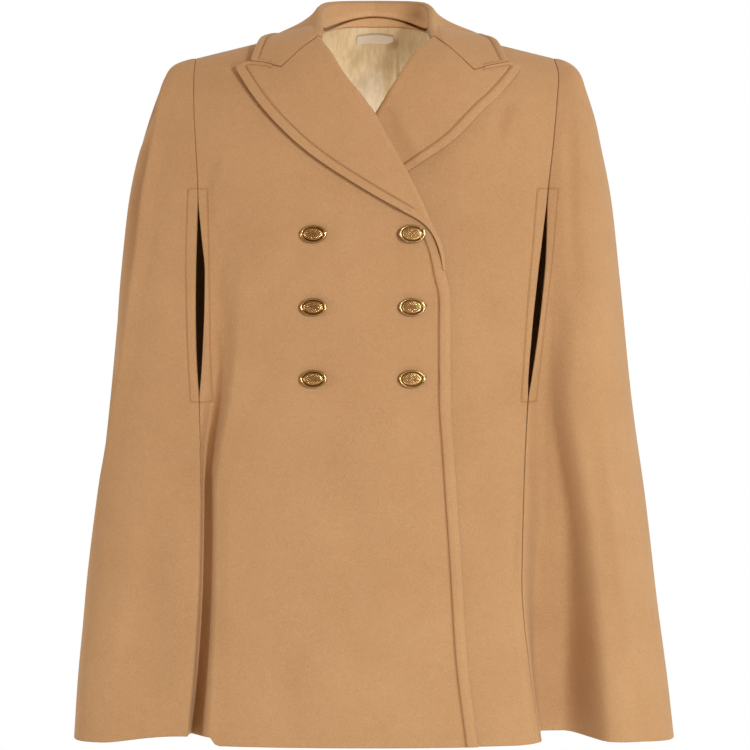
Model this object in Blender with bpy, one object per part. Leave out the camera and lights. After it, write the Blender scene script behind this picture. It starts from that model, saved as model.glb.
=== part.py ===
"""A double-breasted wool cape, kept in the hollow form that it has when it is worn.

The frame: X points to the viewer's right, so the wearer's right is at -X. The front faces -Y and Z
is up. The origin is where the cape hangs on its wearer, on the centre plane at the base of the neck.
Sizes are in millimetres up to the last step, which makes them metres.

Each panel of cloth is a function of two numbers, one across the panel and one down it. The panels
share the rings of the table RINGS, so they meet seam to seam.
"""
import math

import bmesh
import bpy
import numpy as np
from mathutils import Vector
from mathutils.bvhtree import BVHTree

MM = 0.001
SEAM_GAP = 0.3
WOOL = 2.6
SIDE_TOP_THICK = 1.2
SIDE_TOP_FADE = 12.0
FACING = 1.6
LINING = 1.0
LAYER_GAP = 0.4

# The shoulders, and the base of the neck where the panels end.
SHOULDER_X = 200.0
SHOULDER_Z = -21.0
SHOULDER_SLOPE = 0.243
SHOULDER_ROUND = 75.0
NECK_X = 62.0
NECK_BACK = 62.0
NECK_BACK_RISE = 19.0
BACK_NECK = 0.38
FRONT_NECK_ANGLE = math.radians(39.9)
HEM_Z = -780.0
HEM_DROP = SHOULDER_Z - HEM_Z
FRONT_HEM_RISE = 2.5
FOLD_HEM_RISE = 9.0
LEFT_HEM_RISE = 1.5
LEFT_HEM_REACH = 28.0
FOLD_HEM_REACH = 9.0
RECESS_HEM_RISE = 0.1
BACK_HEM_RISE = 0.05
LEFT_CURL = 12.0
LEFT_CURL_REACH = 12.0
LEFT_CURL_TOP = -560.0
FLATNESS = 2.4
SIDE_FULLNESS = 0.78


def table(names, *rows):
    """Return a table's columns by name."""
    return dict(zip(names.split(), np.array(rows, float).T))


# One row for each ring, from the shoulder point to the hem: how far it lies below the shoulder point
# at the seams and at the side, how wide the cape is there on each side, and how far back its side is.
RINGS = table(
    "seam_drop side_drop right_width left_width side_back",
    (0, 0, 201.2, 201.2, 0),
    (1.5, 0.8, 206, 206, 0),
    (5, 3, 213.5, 212.5, 1),
    (10, 6.5, 222, 219, 1),
    (17, 12, 229, 225.5, 2),
    (26, 22, 234.8, 231.5, 3),
    (38, 35, 241, 235.5, 4),
    (54, 52, 247.5, 241, 5),
    (72, 71, 254, 246.5, 6),
    (102, 102, 263, 253, 8),
    (158, 158, 275, 264, 10),
    (248, 248, 285, 274, 11),
    (382, 382, 297.5, 287.5, 12),
    (494, 494, 310, 303, 12),
    (606, 606, 324, 316, 12),
    (696, 696, 333, 328, 12),
    (HEM_DROP, HEM_DROP, 337, 335, 12),
)

# The cape's depth in front of and behind the origin at each height: at the centre and at the seams,
# with where those seams run and how the side panels leave them.
PROFILE = table(
    "z centre right_depth left_depth right_seam left_seam right_slope left_slope "
    "back back_depth back_seam",
    (40, 85, 62, 62, 200, 200, 0.35, 0.35, 60, 60, 200),
    (0, 89, 62, 62, 200, 200, 0.35, 0.35, 74, 62, 200),
    (-21, 92, 62, 62, 200, 200, 0.35, 0.35, 80, 64, 200),
    (-42, 95, 63, 63, 200.5, 203, 0.35, 0.30, 87, 66, 199),
    (-75, 101, 70, 70, 199.5, 200, 0.35, 0.15, 97, 74, 198),
    (-123, 113, 84, 83, 196.5, 195, 0.33, -0.05, 108, 84, 196),
    (-179, 122, 92, 92, 193.5, 188.5, 0.32, -0.20, 114, 92, 194),
    (-241, 126, 97, 97, 193, 183.5, 0.30, -0.28, 117, 96, 191),
    (-332, 128, 101, 101, 193, 174, 0.30, -0.34, 120, 99, 189),
    (-404, 127, 103, 102, 191.5, 166.5, 0.30, -0.34, 122, 101, 188),
    (-502, 128, 104, 103, 189.5, 162, 0.30, -0.15, 129, 106, 191),
    (-600, 131, 105, 103, 191, 160, 0.32, 0.05, 138, 112, 196),
    (-700, 134, 106, 104, 196.5, 169, 0.34, 0.15, 147, 118, 202),
    (HEM_Z, 138, 107, 105, 203.5, 181, 0.34, 0.20, 155, 122, 208),
)

# The front edges: the roll lines of the lapels down to the break, and the open edges below it.
EDGES = table(
    "z top under",
    (12.5, -57.1, 57.1),
    (5, -57.7, 59.3),
    (-3, -58.6, 61),
    (-25, -46, 41.5),
    (-43, -36, 29.5),
    (-91, 0, 0),
    (-115, 13, -14),
    (-148, 31.3, -32),
    (-186, 50.6, -51),
    (-211, 61.4, -61),
    (-235, 72.2, -72),
    (-250, 76.2, -76),
    (-278, 80.3, -80),
    (-294, 82.2, -82),
    (-391, 82.2, -82),
    (-467, 86.5, -82),
    (-575, 93.7, -84),
    (-685, 100.5, -86),
    (HEM_Z, 112, -88),
)

# The room that the top front leaves for the under one and its lapel, and how far beyond the edge it
# fades.
UNDER_FADE = 110.0
UNDER_ROOM = table(
    "z room",
    (12.5, 0),
    (-35, 4.6),
    (-80, 9.8),
    (-200, 9.8),
    (-240, 6.8),
    (-280, 6.0),
    (-320, 4.8),
    (HEM_Z, 4.8),
)

# How far each arm slit stands open: what the front and the side give way at each height.
SLITS = table(
    "z right_front right_side left_front left_side",
    (-150, 0, 0, 0, 0),
    (-181, 0.2, 0.2, 0.2, 0.2),
    (-222, 3.4, 1.6, 2.0, 2.0),
    (-264, 7.4, 2.4, 3.5, 3.5),
    (-305, 6.9, 2.7, 3.7, 3.7),
    (-346, 5.2, 2.2, 2.9, 2.9),
    (-380, 2.4, 1.2, 1.6, 1.6),
    (-400, 0.2, 0.2, 0.2, 0.2),
    (-430, 0, 0, 0, 0),
)

# The deep fold that the right front makes beside its seam: its distance from the seam, its reach
# towards the seam and away from it, and its depth.
VALLEY = table(
    "z centre inner outer depth",
    (-235, 36, 20, 24, 0),
    (-294, 25, 18, 22, 6),
    (-348, 24, 16, 21, 10),
    (-388, 19, 14, 20, 13),
    (-424, 12, 10, 20, 16),
    (-457, 6, 6, 19, 17),
    (-506, 2.5, 2.5, 17, 19),
    (-600, 2.5, 2.5, 18, 21),
    (-700, 2.5, 2.5, 20, 26),
    (HEM_Z, 2.5, 2.5, 23, 33),
)

# The wide fold in the left side: where its floor starts and ends and where it is out again, measured
# from the seam, its depth, and the swell beyond it.
RECESS = table(
    "z near far rise depth swell",
    (-250, 10, 12, 40, 0, 0),
    (-330, 10, 14, 44, 10, 0.5),
    (-404, 12, 20, 50, 18, 1.5),
    (-471, 16, 34, 64, 26, 3),
    (-548, 20, 50, 82, 34, 4),
    (-627, 20, 55, 88, 43, 5),
    (-700, 16, 48, 84, 53, 6),
    (HEM_Z, 13, 40, 76, 59, 7),
)

# The long ridge in the right side, from the shoulder point to the side near the hem: its distance
# in from the side, its height, and the depth of the hollow behind it.
RIDGE = table(
    "z inset height hollow",
    (-25, 3, 0, 0),
    (-52, 7, 2.5, 2),
    (-92, 15, 4, 4),
    (-133, 21, 4.5, 6),
    (-224, 23, 4.5, 5),
    (-292, 20, 4.5, 4.5),
    (-356, 17, 4.5, 4),
    (-407, 12, 4, 3.5),
    (-451, 10, 3.5, 3),
    (-497, 6, 3, 2.5),
    (-591, 2.5, 1.5, 1),
    (-680, 2, 0, 0),
    (HEM_Z, 2, 0, 0),
)

# The flutes of the back and of the sides behind: where each starts, its place across the panel there
# and at the hem, its half width, and its depth at the hem.
BACK_FLUTES = table(
    "top start place half depth",
    (-300, -88, -118, 58, 26),
    (-240, -8, -12, 60, 22),
    (-330, 78, 104, 56, 28),
)
SIDE_FLUTES = table(
    "side top start place half depth",
    (-1, -280, 1.50, 1.46, 0.34, 30),
    (1, -310, 1.44, 1.40, 0.34, 28),
)

# The lapels' edges, from their lower ends up to their peaks. The left one ends out of sight below the
# right front, on a line of its own.
LAPEL_EDGE_RIGHT = table(
    "share x z",
    (0, 73.2, -262),
    (0.05, 71, -249),
    (0.10, 67.3, -236),
    (0.15, 61.8, -224),
    (0.20, 50.5, -211),
    (0.273, 29.2, -198.7),
    (0.416, -13, -174.6),
    (0.614, -69, -137.6),
    (0.768, -107.4, -102.5),
    (0.895, -134.5, -69),
    (1, -153.7, -39.2),
)
LAPEL_EDGE_LEFT = table(
    "share x z",
    (0, 10, -172),
    (0.16, 35.7, -155.2),
    (0.5, 87.3, -119.7),
    (0.76, 120.6, -84.6),
    (0.9, 146, -59),
    (1, 160.5, -40),
)
LAPEL_END_LEFT = table(
    "share x z",
    (0, -28, -150),
    (0.4, -13, -161),
    (0.78, 0, -168),
    (1, 10, -172),
)
GORGE = table(
    "share right_x right_z left_x left_z",
    (0, -62.5, -5, 65, -5),
    (0.46, -101.3, -42, 107, -45),
    (0.64, -120, -37.5, 127, -40),
    (0.82, -136, -35.4, 146, -36),
    (1, -153.7, -39.2, 160.5, -40),
)
LAPEL_THICK = 2.4
LAPEL_ROLL_TOP = -5.0
LAPEL_ROLL_LOW = {"right": -262.0, "left": -150.0}
LAPEL_TAPER = 80.0
LAPEL_TIP_THICK = 0.9
LAPEL_ROWS = (0, 0.05, 0.1, 0.15, 0.2, 0.26, 0.33, 0.41, 0.5, 0.59, 0.67, 0.74, 0.81, 0.875, 0.94, 1)
LAPEL_LEG = 6.0
LAPEL_EASE = 1.1
LAPEL_LIFT = 2.4
COLLAR_ROLL = 3.2

# The collar, from the centre back to the gorge: where on the neckline it stands, the centre of its
# roll, how far the fold leans from level to upright, and its outer edge.
COLLAR = table(
    "neck x y z lean hold edge_x edge_y edge_z",
    (0, 0, 63, 46.8, 90, 0.36, 0, 75.5, -12),
    (0.16, 34, 54, 45.4, 88, 0.34, 50, 62, -12),
    (0.27, 55, 30, 40.8, 68, 0.30, 90, 42, -7),
    (0.38, 62.5, 2, 31.5, 58, 0.28, 116, 6, 2.5),
    (0.62, 63.0, -26, 12.5, 56, 0.34, 131, -22, -14),
)
COLLAR_PLACES = (0, 0.045, 0.09, 0.135, 0.18, 0.225, 0.27, 0.325, 0.38, 0.42, 0.462, 0.513, 0.564, 0.62)
NECK_PLACES = (0, 0.09, 0.18, 0.27, 0.38, 0.462, 0.564, 0.714, 0.859)
COLLAR_ROOM = 1.2
COLLAR_THICK = 2.8
COLLAR_LIFT = 4.4
COLLAR_SHIFT = 3.5

# The raised margin along the front edge, inside its row of stitches.
WELT_WIDTH = 13.8
WELT_RAISE = 1.0
WELT_GROOVE = 0.8
WELT_TOP_Z = -215.0

# The buttons.
BUTTON_COLUMNS = (-66.5, 40.0)
BUTTON_ROWS = (-223.0, -302.0, -379.5)
BUTTON_INNER_RAISE = 2.3
BUTTON_HALF_HEIGHT = 9.8
BUTTON_HALF_WIDTH = 14.6
BUTTON_STEM = 2.2

LABEL_THICK = 1.0


def interpolate(keys, values, at):
    """Return a smooth curve through a table's column, with no overshoot between its rows."""
    keys = np.asarray(keys, float)
    values = np.asarray(values, float)
    if keys[0] > keys[-1]:
        keys = keys[::-1]
        values = values[::-1]
    steps = np.diff(keys)
    slopes = np.diff(values) / steps
    tangents = np.zeros_like(values)
    before = slopes[:-1]
    after = slopes[1:]
    weight_a = 2 * steps[1:] + steps[:-1]
    weight_b = steps[1:] + 2 * steps[:-1]
    same_way = before * after > 0
    safe_before = np.where(same_way, before, 1)
    safe_after = np.where(same_way, after, 1)
    mean = (weight_a + weight_b) / (weight_a / safe_before + weight_b / safe_after)
    tangents[1:-1] = np.where(same_way, mean, 0)
    tangents[0] = slopes[0]
    tangents[-1] = slopes[-1]
    at = np.clip(np.asarray(at, float), keys[0], keys[-1])
    index = np.clip(np.searchsorted(keys, at, side="right") - 1, 0, len(steps) - 1)
    step = steps[index]
    t = (at - keys[index]) / step
    value = values[index] * (1 + 2 * t) * (1 - t) ** 2
    value = value + tangents[index] * step * t * (1 - t) ** 2
    value = value + values[index + 1] * t * t * (3 - 2 * t)
    return value + tangents[index + 1] * step * t * t * (t - 1)


def polyline(keys, values, at):
    """Return straight lines through a table's column."""
    return np.interp(at, keys, values)


def at_height(columns, name, z):
    """Read a column of a table that is keyed by height."""
    return interpolate(columns["z"], columns[name], z)


def on_ring(name, ring):
    """Read a column of RINGS at a whole or part ring number."""
    return interpolate(np.arange(len(RINGS[name])), RINGS[name], ring)


def smooth(t):
    """Ease from 0 to 1."""
    t = np.clip(t, 0, 1)
    return t * t * (3 - 2 * t)


def bump(t):
    """Return a soft hump of height 1 at 0, which ends at -1 and 1."""
    t = np.clip(t, -1, 1)
    return (1 - t * t) ** 2


def shoulder_z(x):
    """Return the height of the shoulder seam."""
    return SHOULDER_Z + SHOULDER_SLOPE * (SHOULDER_X - np.abs(x))


def rounding(drop, height):
    """Round a surface off towards the seam on top of the shoulder."""
    t = np.clip(drop / height, 0, 1)
    return np.sqrt(1 - (1 - t) ** 2)


def front_flat(x, z):
    """Return how far the front would stand in front of the origin without its rounded shoulders."""
    centre = at_height(PROFILE, "centre", z)
    right = x < 0
    seam_depth = np.where(right, at_height(PROFILE, "right_depth", z), at_height(PROFILE, "left_depth", z))
    seam = np.where(right, at_height(PROFILE, "right_seam", z), at_height(PROFILE, "left_seam", z))
    return centre + (seam_depth - centre) * (np.abs(x) / seam) ** FLATNESS


def front_depth(x, z):
    """Return how far the cape stands in front of the origin, without its folds."""
    return front_flat(x, z) * rounding(shoulder_z(x) - z, SHOULDER_ROUND)


def valley_depth(x, z):
    """Return the depth of the fold in the right front beside its seam."""
    from_seam = x + at_height(PROFILE, "right_seam", z) - SEAM_GAP * 0.45
    centre = at_height(VALLEY, "centre", z)
    depth = at_height(VALLEY, "depth", z)
    inner = np.clip((centre - from_seam) / at_height(VALLEY, "inner", z), 0, 1)
    outer = np.clip((from_seam - centre) / at_height(VALLEY, "outer", z), 0, 1)
    steep = smooth((-z - 400) / 100)
    inner_side = (1 - inner ** 2) ** 2 * (1 - steep) + np.sqrt(1 - inner ** 2) * steep
    straight = np.where(outer < 0.6, 1 - 1.25 * outer, 1.5625 * (1 - outer) ** 2)
    outer_side = (1 - outer ** 2) ** 2 * (1 - steep) + straight * steep
    return depth * np.where(from_seam < centre, inner_side, outer_side)


def left_curl(x, z):
    """Return how far the left front curls back beside its seam, towards the hem."""
    from_seam = at_height(PROFILE, "left_seam", z) - x
    grown = smooth((LEFT_CURL_TOP - z) / (LEFT_CURL_TOP - HEM_Z))
    return LEFT_CURL * grown * (1 - np.clip(from_seam / LEFT_CURL_REACH, 0, 1)) ** 2


def fold_hem_rise(x, z):
    """Return how much higher the hem is in the fold beside the right front seam."""
    from_seam = x + at_height(PROFILE, "right_seam", z)
    beyond = (from_seam - at_height(VALLEY, "outer", z)) / FOLD_HEM_REACH
    return FOLD_HEM_RISE * (1 - smooth(beyond))


def under_push(x, z):
    """Return how far the under front lies behind the surface of the top one."""
    room = at_height(UNDER_ROOM, "room", z)
    return room * (1 - smooth((x - at_height(EDGES, "top", z)) / UNDER_FADE))


def welt_relief(from_edge, z):
    """Return the height of the raised margin along the front edge, with the groove of its stitches."""
    fade = smooth((WELT_TOP_Z - z) / 12)
    margin = smooth((WELT_WIDTH - 0.4 - from_edge) / 1.8)
    groove = bump((from_edge - WELT_WIDTH) / 1.6)
    return fade * (WELT_RAISE * margin - WELT_GROOVE * groove)


def surface_point(x, z, side):
    """Return a point of the top (right) or under (left) front."""
    depth = front_depth(x, z)
    if side == "right":
        depth = depth - valley_depth(x, z)
    else:
        depth = depth - under_push(x, z) - left_curl(x, z)
    return np.stack([x, -depth, z], axis=-1)


def surface_normal(x, z, side):
    """Return the outward direction of a front at a point."""
    step = 0.5
    across = surface_point(x + step, z, side) - surface_point(x - step, z, side)
    up = surface_point(x, z + step, side) - surface_point(x, z - step, side)
    return unit(np.cross(across, up))


def unit(vectors):
    """Scale vectors to length 1."""
    return vectors / np.linalg.norm(vectors, axis=-1, keepdims=True)


def lapel_thickness(side, z):
    """Return a lapel's thickness at its roll and its gap to the front, thin at the right one's tip."""
    full = smooth((z - LAPEL_ROLL_LOW[side]) / LAPEL_TAPER)
    if side == "left":
        full = np.ones_like(z)
    thick = LAPEL_TIP_THICK + (LAPEL_THICK - LAPEL_TIP_THICK) * full
    return thick, LAYER_GAP + LAPEL_EASE * full


def panel_edge(side, z):
    """Return where a front's cloth ends: at its open edge, or inside the roll of its lapel."""
    name = "top" if side == "right" else "under"
    edge = at_height(EDGES, name, z)
    inward = -1 if side == "right" else 1
    rolled = smooth((z - LAPEL_ROLL_LOW[side]) / 24 + 1)
    thick, gap = lapel_thickness(side, z)
    return edge + inward * rolled * (WOOL / 2 + gap + thick - 0.3)


def front_panel(side, u, ring):
    """Return a front's points and its raised margin: u runs from its seam to its edge."""
    sign = -1 if side == "right" else 1
    top_z = shoulder_z(SHOULDER_X + (NECK_X - SHOULDER_X) * u)
    drop = on_ring("seam_drop", ring)
    fraction = drop / HEM_DROP
    z = top_z - fraction * (top_z - HEM_Z)
    opening = at_height(SLITS, side + "_front", z)
    seam = sign * (at_height(PROFILE, side + "_seam", z) - opening - SEAM_GAP / 2)
    edge = panel_edge(side, z) + sign * COLLAR_ROOM * smooth((z + 25) / 18)
    width = np.abs(edge - seam)
    fold = at_height(VALLEY, "centre", z) if side == "right" else 0 * z + 6
    seam_reach = fold + 22
    edge_reach = 17.0
    near_seam = np.where(u < 0.075, fold * u / 0.075, fold + (seam_reach - fold) * (u - 0.075) / 0.225)
    near_edge = width - edge_reach * (1 - u) / 0.2
    between = seam_reach + (width - edge_reach - seam_reach) * (u - 0.3) / 0.5
    distance = np.where(u < 0.3, near_seam, np.where(u > 0.8, near_edge, between))
    share = u + (distance / width - u) * smooth(drop / 160)
    x = seam + (edge - seam) * share
    points = surface_point(x, z, side)
    relief = np.zeros_like(points)
    rise = FRONT_HEM_RISE + 0 * x
    if side == "right":
        relief[..., 1] = -welt_relief(np.abs(edge - x), z)
        rise = rise + fold_hem_rise(x, z)
    else:
        rise = rise + LEFT_HEM_RISE * (1 - smooth(np.abs(x - seam) / LEFT_HEM_REACH))
    points[..., 1] = np.where(drop < 0.1, -SEAM_GAP / 2, points[..., 1])
    points[..., 2] += rise * smooth((fraction - 0.7) / 0.3)
    return points, relief


def back_depth(x, z):
    """Return how far the cape stands behind the origin, with its flutes."""
    middle = at_height(PROFILE, "back", z)
    seam_depth = at_height(PROFILE, "back_depth", z)
    seam = at_height(PROFILE, "back_seam", z)
    depth = middle + (seam_depth - middle) * np.clip(np.abs(x) / seam, 0, 1.2) ** FLATNESS
    for top, start, place, half, deep in zip(*BACK_FLUTES.values()):
        grown = smooth((top - z) / (top - HEM_Z))
        centre = start + (place - start) * (top - z) / (top - HEM_Z)
        depth = depth - deep * grown * bump((x - centre) / half)
    return depth


def back_top(size):
    """Return the back's top edge: the neckline up to BACK_NECK across it, then the shoulder seam."""
    turn = (1 - np.clip(size / BACK_NECK, 0, 1)) * math.pi / 2
    along = np.clip((size - BACK_NECK) / (1 - BACK_NECK), 0, 1)
    x = NECK_X * np.cos(turn) + (SHOULDER_X - SEAM_GAP / 2 - NECK_X) * along
    y = SEAM_GAP / 2 + NECK_BACK * np.sin(turn)
    return x, y, shoulder_z(np.maximum(x, NECK_X)) + NECK_BACK_RISE * np.sin(turn) ** 2


def back_behind(size, x, z):
    """Return how far back the back's surface lies."""
    _, top_y, top_z = back_top(size)
    over = rounding(top_z - z, SHOULDER_ROUND)
    nape = 1 - (1 - np.clip((top_z - z) / 120, 0, 1)) ** 1.6
    rise = over + (nape - over) * smooth((BACK_NECK + 0.27 - size) / 0.54)
    return top_y + (back_depth(x, z) - top_y) * rise


def back_panel(u, ring):
    """Return the back's points: u runs from -1 at the right back seam to 1 at the left one."""
    size = np.abs(u)
    sign = np.where(u < 0, -1, 1)
    top_x, _, top_z = back_top(size)
    drop = on_ring("seam_drop", ring)
    fraction = drop / HEM_DROP
    z = top_z - fraction * (top_z - HEM_Z)
    top_share = top_x / (SHOULDER_X - SEAM_GAP / 2)
    share = top_share + (size - top_share) * smooth(drop / 160)
    x = sign * share * (at_height(PROFILE, "back_seam", z) - SEAM_GAP / 2)
    y = back_behind(size, x, z)
    pulled_in = at_height(PROFILE, "back", z) - back_depth(x, z)
    z = z + BACK_HEM_RISE * pulled_in * smooth((fraction - 0.7) / 0.3)
    return np.stack([x, y, z], axis=-1)


def bezier(start, start_handle, end_handle, end, t):
    """Return points of a cubic curve."""
    t = t[..., None]
    points = start * (1 - t) ** 3 + start_handle * 3 * t * (1 - t) ** 2
    return points + end_handle * 3 * t * t * (1 - t) + end * t ** 3


def side_panel(side, s, ring):
    """Return a side's points: s runs from 0 at the front seam over 1 at the side to 2 at the back seam."""
    sign = -1 if side == "right" else 1
    s, ring = np.broadcast_arrays(np.asarray(s, float), np.asarray(ring, float))
    drop = on_ring("seam_drop", ring)
    seam_z = SHOULDER_Z - drop
    width = on_ring(side + "_width", ring)
    opening = at_height(SLITS, side + "_side", seam_z)
    seam = at_height(PROFILE, side + "_seam", seam_z) + opening + SEAM_GAP / 2
    start = np.stack([seam, surface_point(sign * seam, seam_z, side)[..., 1]], axis=-1)
    middle = np.stack([width, on_ring("side_back", ring)], axis=-1)
    back_x = at_height(PROFILE, "back_seam", seam_z) + SEAM_GAP / 2
    back_y = back_panel(sign + 0 * ring, ring)[..., 1]
    end = np.stack([back_x, back_y], axis=-1)
    slope = at_height(PROFILE, side + "_slope", seam_z)
    slope = slope * smooth(drop / 60)
    leave = unit(np.stack([1 + 0 * slope, slope], axis=-1)) * SIDE_FULLNESS * (width - seam)[..., None]
    arrive = np.stack([0 * width, -SIDE_FULLNESS * (middle[..., 1] - start[..., 1])], axis=-1)
    depart = np.stack([0 * width, 0.52 * (end[..., 1] - middle[..., 1])], axis=-1)
    come_in = unit(np.stack([1 + 0 * slope, -0.3 * smooth(drop / 60)], axis=-1))
    come_in = come_in * 0.5 * (width - back_x)[..., None]
    front = bezier(start, start + leave, middle + arrive, middle, np.clip(s, 0, 1))
    rear = bezier(middle, middle + depart, end + come_in, end, np.clip(s - 1, 0, 1))
    plan = np.where((s <= 1)[..., None], front, rear)
    side_z = SHOULDER_Z - on_ring("side_drop", ring)
    z = seam_z + (side_z - seam_z) * smooth(1 - np.abs(s - 1))
    step = 0.01
    ahead = np.clip(s + step, 0, 2)
    behind = np.clip(s - step, 0, 2)
    front_a = bezier(start, start + leave, middle + arrive, middle, np.clip(ahead, 0, 1))
    rear_a = bezier(middle, middle + depart, end + come_in, end, np.clip(ahead - 1, 0, 1))
    front_b = bezier(start, start + leave, middle + arrive, middle, np.clip(behind, 0, 1))
    rear_b = bezier(middle, middle + depart, end + come_in, end, np.clip(behind - 1, 0, 1))
    tangent = np.where((ahead <= 1)[..., None], front_a, rear_a)
    tangent = unit(tangent - np.where((behind <= 1)[..., None], front_b, rear_b))
    outward = np.stack([tangent[..., 1], -tangent[..., 0]], axis=-1)
    moved = side_folds(side, s, plan, width, seam, z)
    plan = plan + outward * moved[..., None]
    lift = FRONT_HEM_RISE * smooth(1 - s) - RECESS_HEM_RISE * np.minimum(moved, 0)
    at_seam = FOLD_HEM_RISE if side == "right" else LEFT_HEM_RISE
    lift = lift + at_seam * smooth(1 - 2.2 * s)
    z = z + lift * smooth((drop / HEM_DROP - 0.7) / 0.3)
    return np.stack([sign * plan[..., 0], plan[..., 1], z], axis=-1)


def side_folds(side, s, plan, width, seam, z):
    """Return how far the folds move a side panel outwards."""
    moved = 0 * z
    if side == "left":
        from_seam = plan[..., 0] - seam
        near = at_height(RECESS, "near", z)
        far = at_height(RECESS, "far", z)
        rise = at_height(RECESS, "rise", z)
        floor = smooth(from_seam / near) * (1 - smooth((from_seam - far) / (rise - far)))
        swell = bump((from_seam - rise - 12) / 26)
        recess = at_height(RECESS, "swell", z) * swell - at_height(RECESS, "depth", z) * floor
        moved = np.where(s < 1, recess, moved)
    else:
        inset = width - plan[..., 0]
        place = at_height(RIDGE, "inset", z)
        ridge = at_height(RIDGE, "height", z) * bump((inset - place) / 13)
        hollow = at_height(RIDGE, "hollow", z) * bump((inset - place + 11) / 10)
        moved = np.where(s < 1, ridge - hollow, moved)
    sign = -1 if side == "right" else 1
    for of_side, top, start, place, half, deep in zip(*SIDE_FLUTES.values()):
        if of_side == sign:
            grown = smooth((top - z) / (top - HEM_Z))
            centre = start + (place - start) * (top - z) / (top - HEM_Z)
            moved = moved - deep * grown * bump((s - centre) / half)
    return moved


def grid_normals(points):
    """Return the normals of a grid of points."""
    across = np.empty_like(points)
    across[:, 1:-1] = unit(points[:, 2:] - points[:, 1:-1]) + unit(points[:, 1:-1] - points[:, :-2])
    across[:, 0] = points[:, 1] - points[:, 0]
    across[:, -1] = points[:, -1] - points[:, -2]
    down = np.empty_like(points)
    down[1:-1] = unit(points[2:] - points[1:-1]) + unit(points[1:-1] - points[:-2])
    down[0] = points[1] - points[0]
    down[-1] = points[-1] - points[-2]
    return unit(np.cross(across, down))


def share_normals(one, other):
    """Give two panels the same normals along the seam between them."""
    mean = unit(one + other)
    one[...] = mean
    other[...] = mean


def blend_normals(normals, places, reach):
    """Ease a grid's normals from its first column to the one at reach."""
    for column in range(1, reach):
        share = (places[column] - places[0]) / (places[reach] - places[0])
        normals[:, column] = unit(normals[:, 0] * (1 - share) + normals[:, reach] * share)


def roll_frame(side, z):
    """Return a lapel roll's centre, the way out of the fold and the way off the panel at each height."""
    x = panel_edge(side, z)
    step = 1.0
    here = surface_point(x, z, side)
    above = surface_point(panel_edge(side, z + step), z + step, side)
    below = surface_point(panel_edge(side, z - step), z - step, side)
    tangent = unit(above - below)
    normal = surface_normal(x, z, side)
    out = unit(np.cross(normal, tangent))
    if side == "right":
        out = -out
    centre = here - normal * WOOL / 2
    return centre, out, normal


def patch(left, right, low, high, reach):
    """Fill a patch with ribs from left to right, which take the shape of low and high near the ends."""
    v = reach[:, None, None]
    u = np.linspace(0, 1, len(low))[None, :, None]
    ribs = left[:, None] * (1 - u) + right[:, None] * u
    low_bend = low[None] - low[0] * (1 - u) - low[-1] * u
    high_bend = high[None] - high[0] * (1 - u) - high[-1] * u
    return ribs + low_bend * (1 - v) ** 3 + high_bend * v ** 3


def table_curve(columns, at, names=("x", "z"), read=interpolate):
    """Return points along the rows of a table that is keyed by its share column."""
    return np.stack([read(columns["share"], columns[name], at) for name in names], axis=-1)


def lapel_grid(side, columns=12):
    """Return a lapel's middle layer and its thickness: the roll first, then the part that lies over."""
    low = LAPEL_ROLL_LOW[side]
    at = np.array(LAPEL_ROWS, float)
    share = np.linspace(0, 1, columns)
    roll_z = low + (LAPEL_ROLL_TOP - low) * at
    left = np.stack([panel_edge(side, roll_z), roll_z], axis=-1)
    right = table_curve(LAPEL_EDGE_RIGHT if side == "right" else LAPEL_EDGE_LEFT, at)
    top = table_curve(GORGE, share, (side + "_x", side + "_z"), polyline)
    bottom = table_curve(LAPEL_END_LEFT, share)
    if side == "right":
        bottom = left[0] + (right[0] - left[0]) * share[:, None]
    bottom[0] = left[0]
    top[0] = left[-1]
    flat = patch(left, right, bottom, top, at)
    centre, out, normal = roll_frame(side, roll_z)
    thick, gap = lapel_thickness(side, roll_z)
    margin = welt_relief(0 * roll_z, roll_z) if side == "right" else 0 * roll_z
    points = []
    thickness = []
    for angle, part in ((-90, 0.5), (-90, 0.5), (-45, 0.65), (0, 0.9), (45, 1.0)):
        turn = math.radians(angle)
        around = np.maximum(thick * part, LAPEL_TIP_THICK)
        inner = WOOL / 2 + LAYER_GAP + (gap - LAYER_GAP) * (0.45 + 0.55 * (angle + 90) / 135)
        radius = (inner + around / 2)[:, None]
        over = radius + margin[:, None] * max(math.sin(turn), 0)
        points.append(centre + (out * math.cos(turn) + normal * math.sin(turn)) * over)
        thickness.append(around)
    leg = 0.6 + LAPEL_LEG * (1 - smooth((at - 0.7) / 0.25))
    points[0] = points[0] - out * leg[:, None]
    x = flat[..., 0]
    z = flat[..., 1]
    visible = 1.0
    if side == "left":
        visible = smooth((x - at_height(EDGES, "top", z) - 4) / 25)
    from_roll = np.linalg.norm(flat - flat[:, :1], axis=-1)
    raised = margin[:, None] + LAPEL_LIFT * visible * smooth(from_roll / 26)
    over_thick = thick[:, None] + (LAPEL_THICK - thick[:, None]) * smooth(share / 0.8)
    height = gap[:, None] + raised + over_thick / 2
    over = surface_point(x, z, side) + surface_normal(x, z, side) * height[..., None]
    points = np.concatenate([np.stack(points, axis=1), over], axis=1)
    return points, np.concatenate([np.stack(thickness, axis=1), over_thick], axis=1)


def front_neck_height(place):
    """Return the height of the front neckline, from the neck point down to the gorge."""
    turn = np.clip((place - BACK_NECK) / (1 - BACK_NECK), 0, 1)
    return shoulder_z(NECK_X) - SHOULDER_ROUND * (1 - np.cos(FRONT_NECK_ANGLE * turn))


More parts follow.
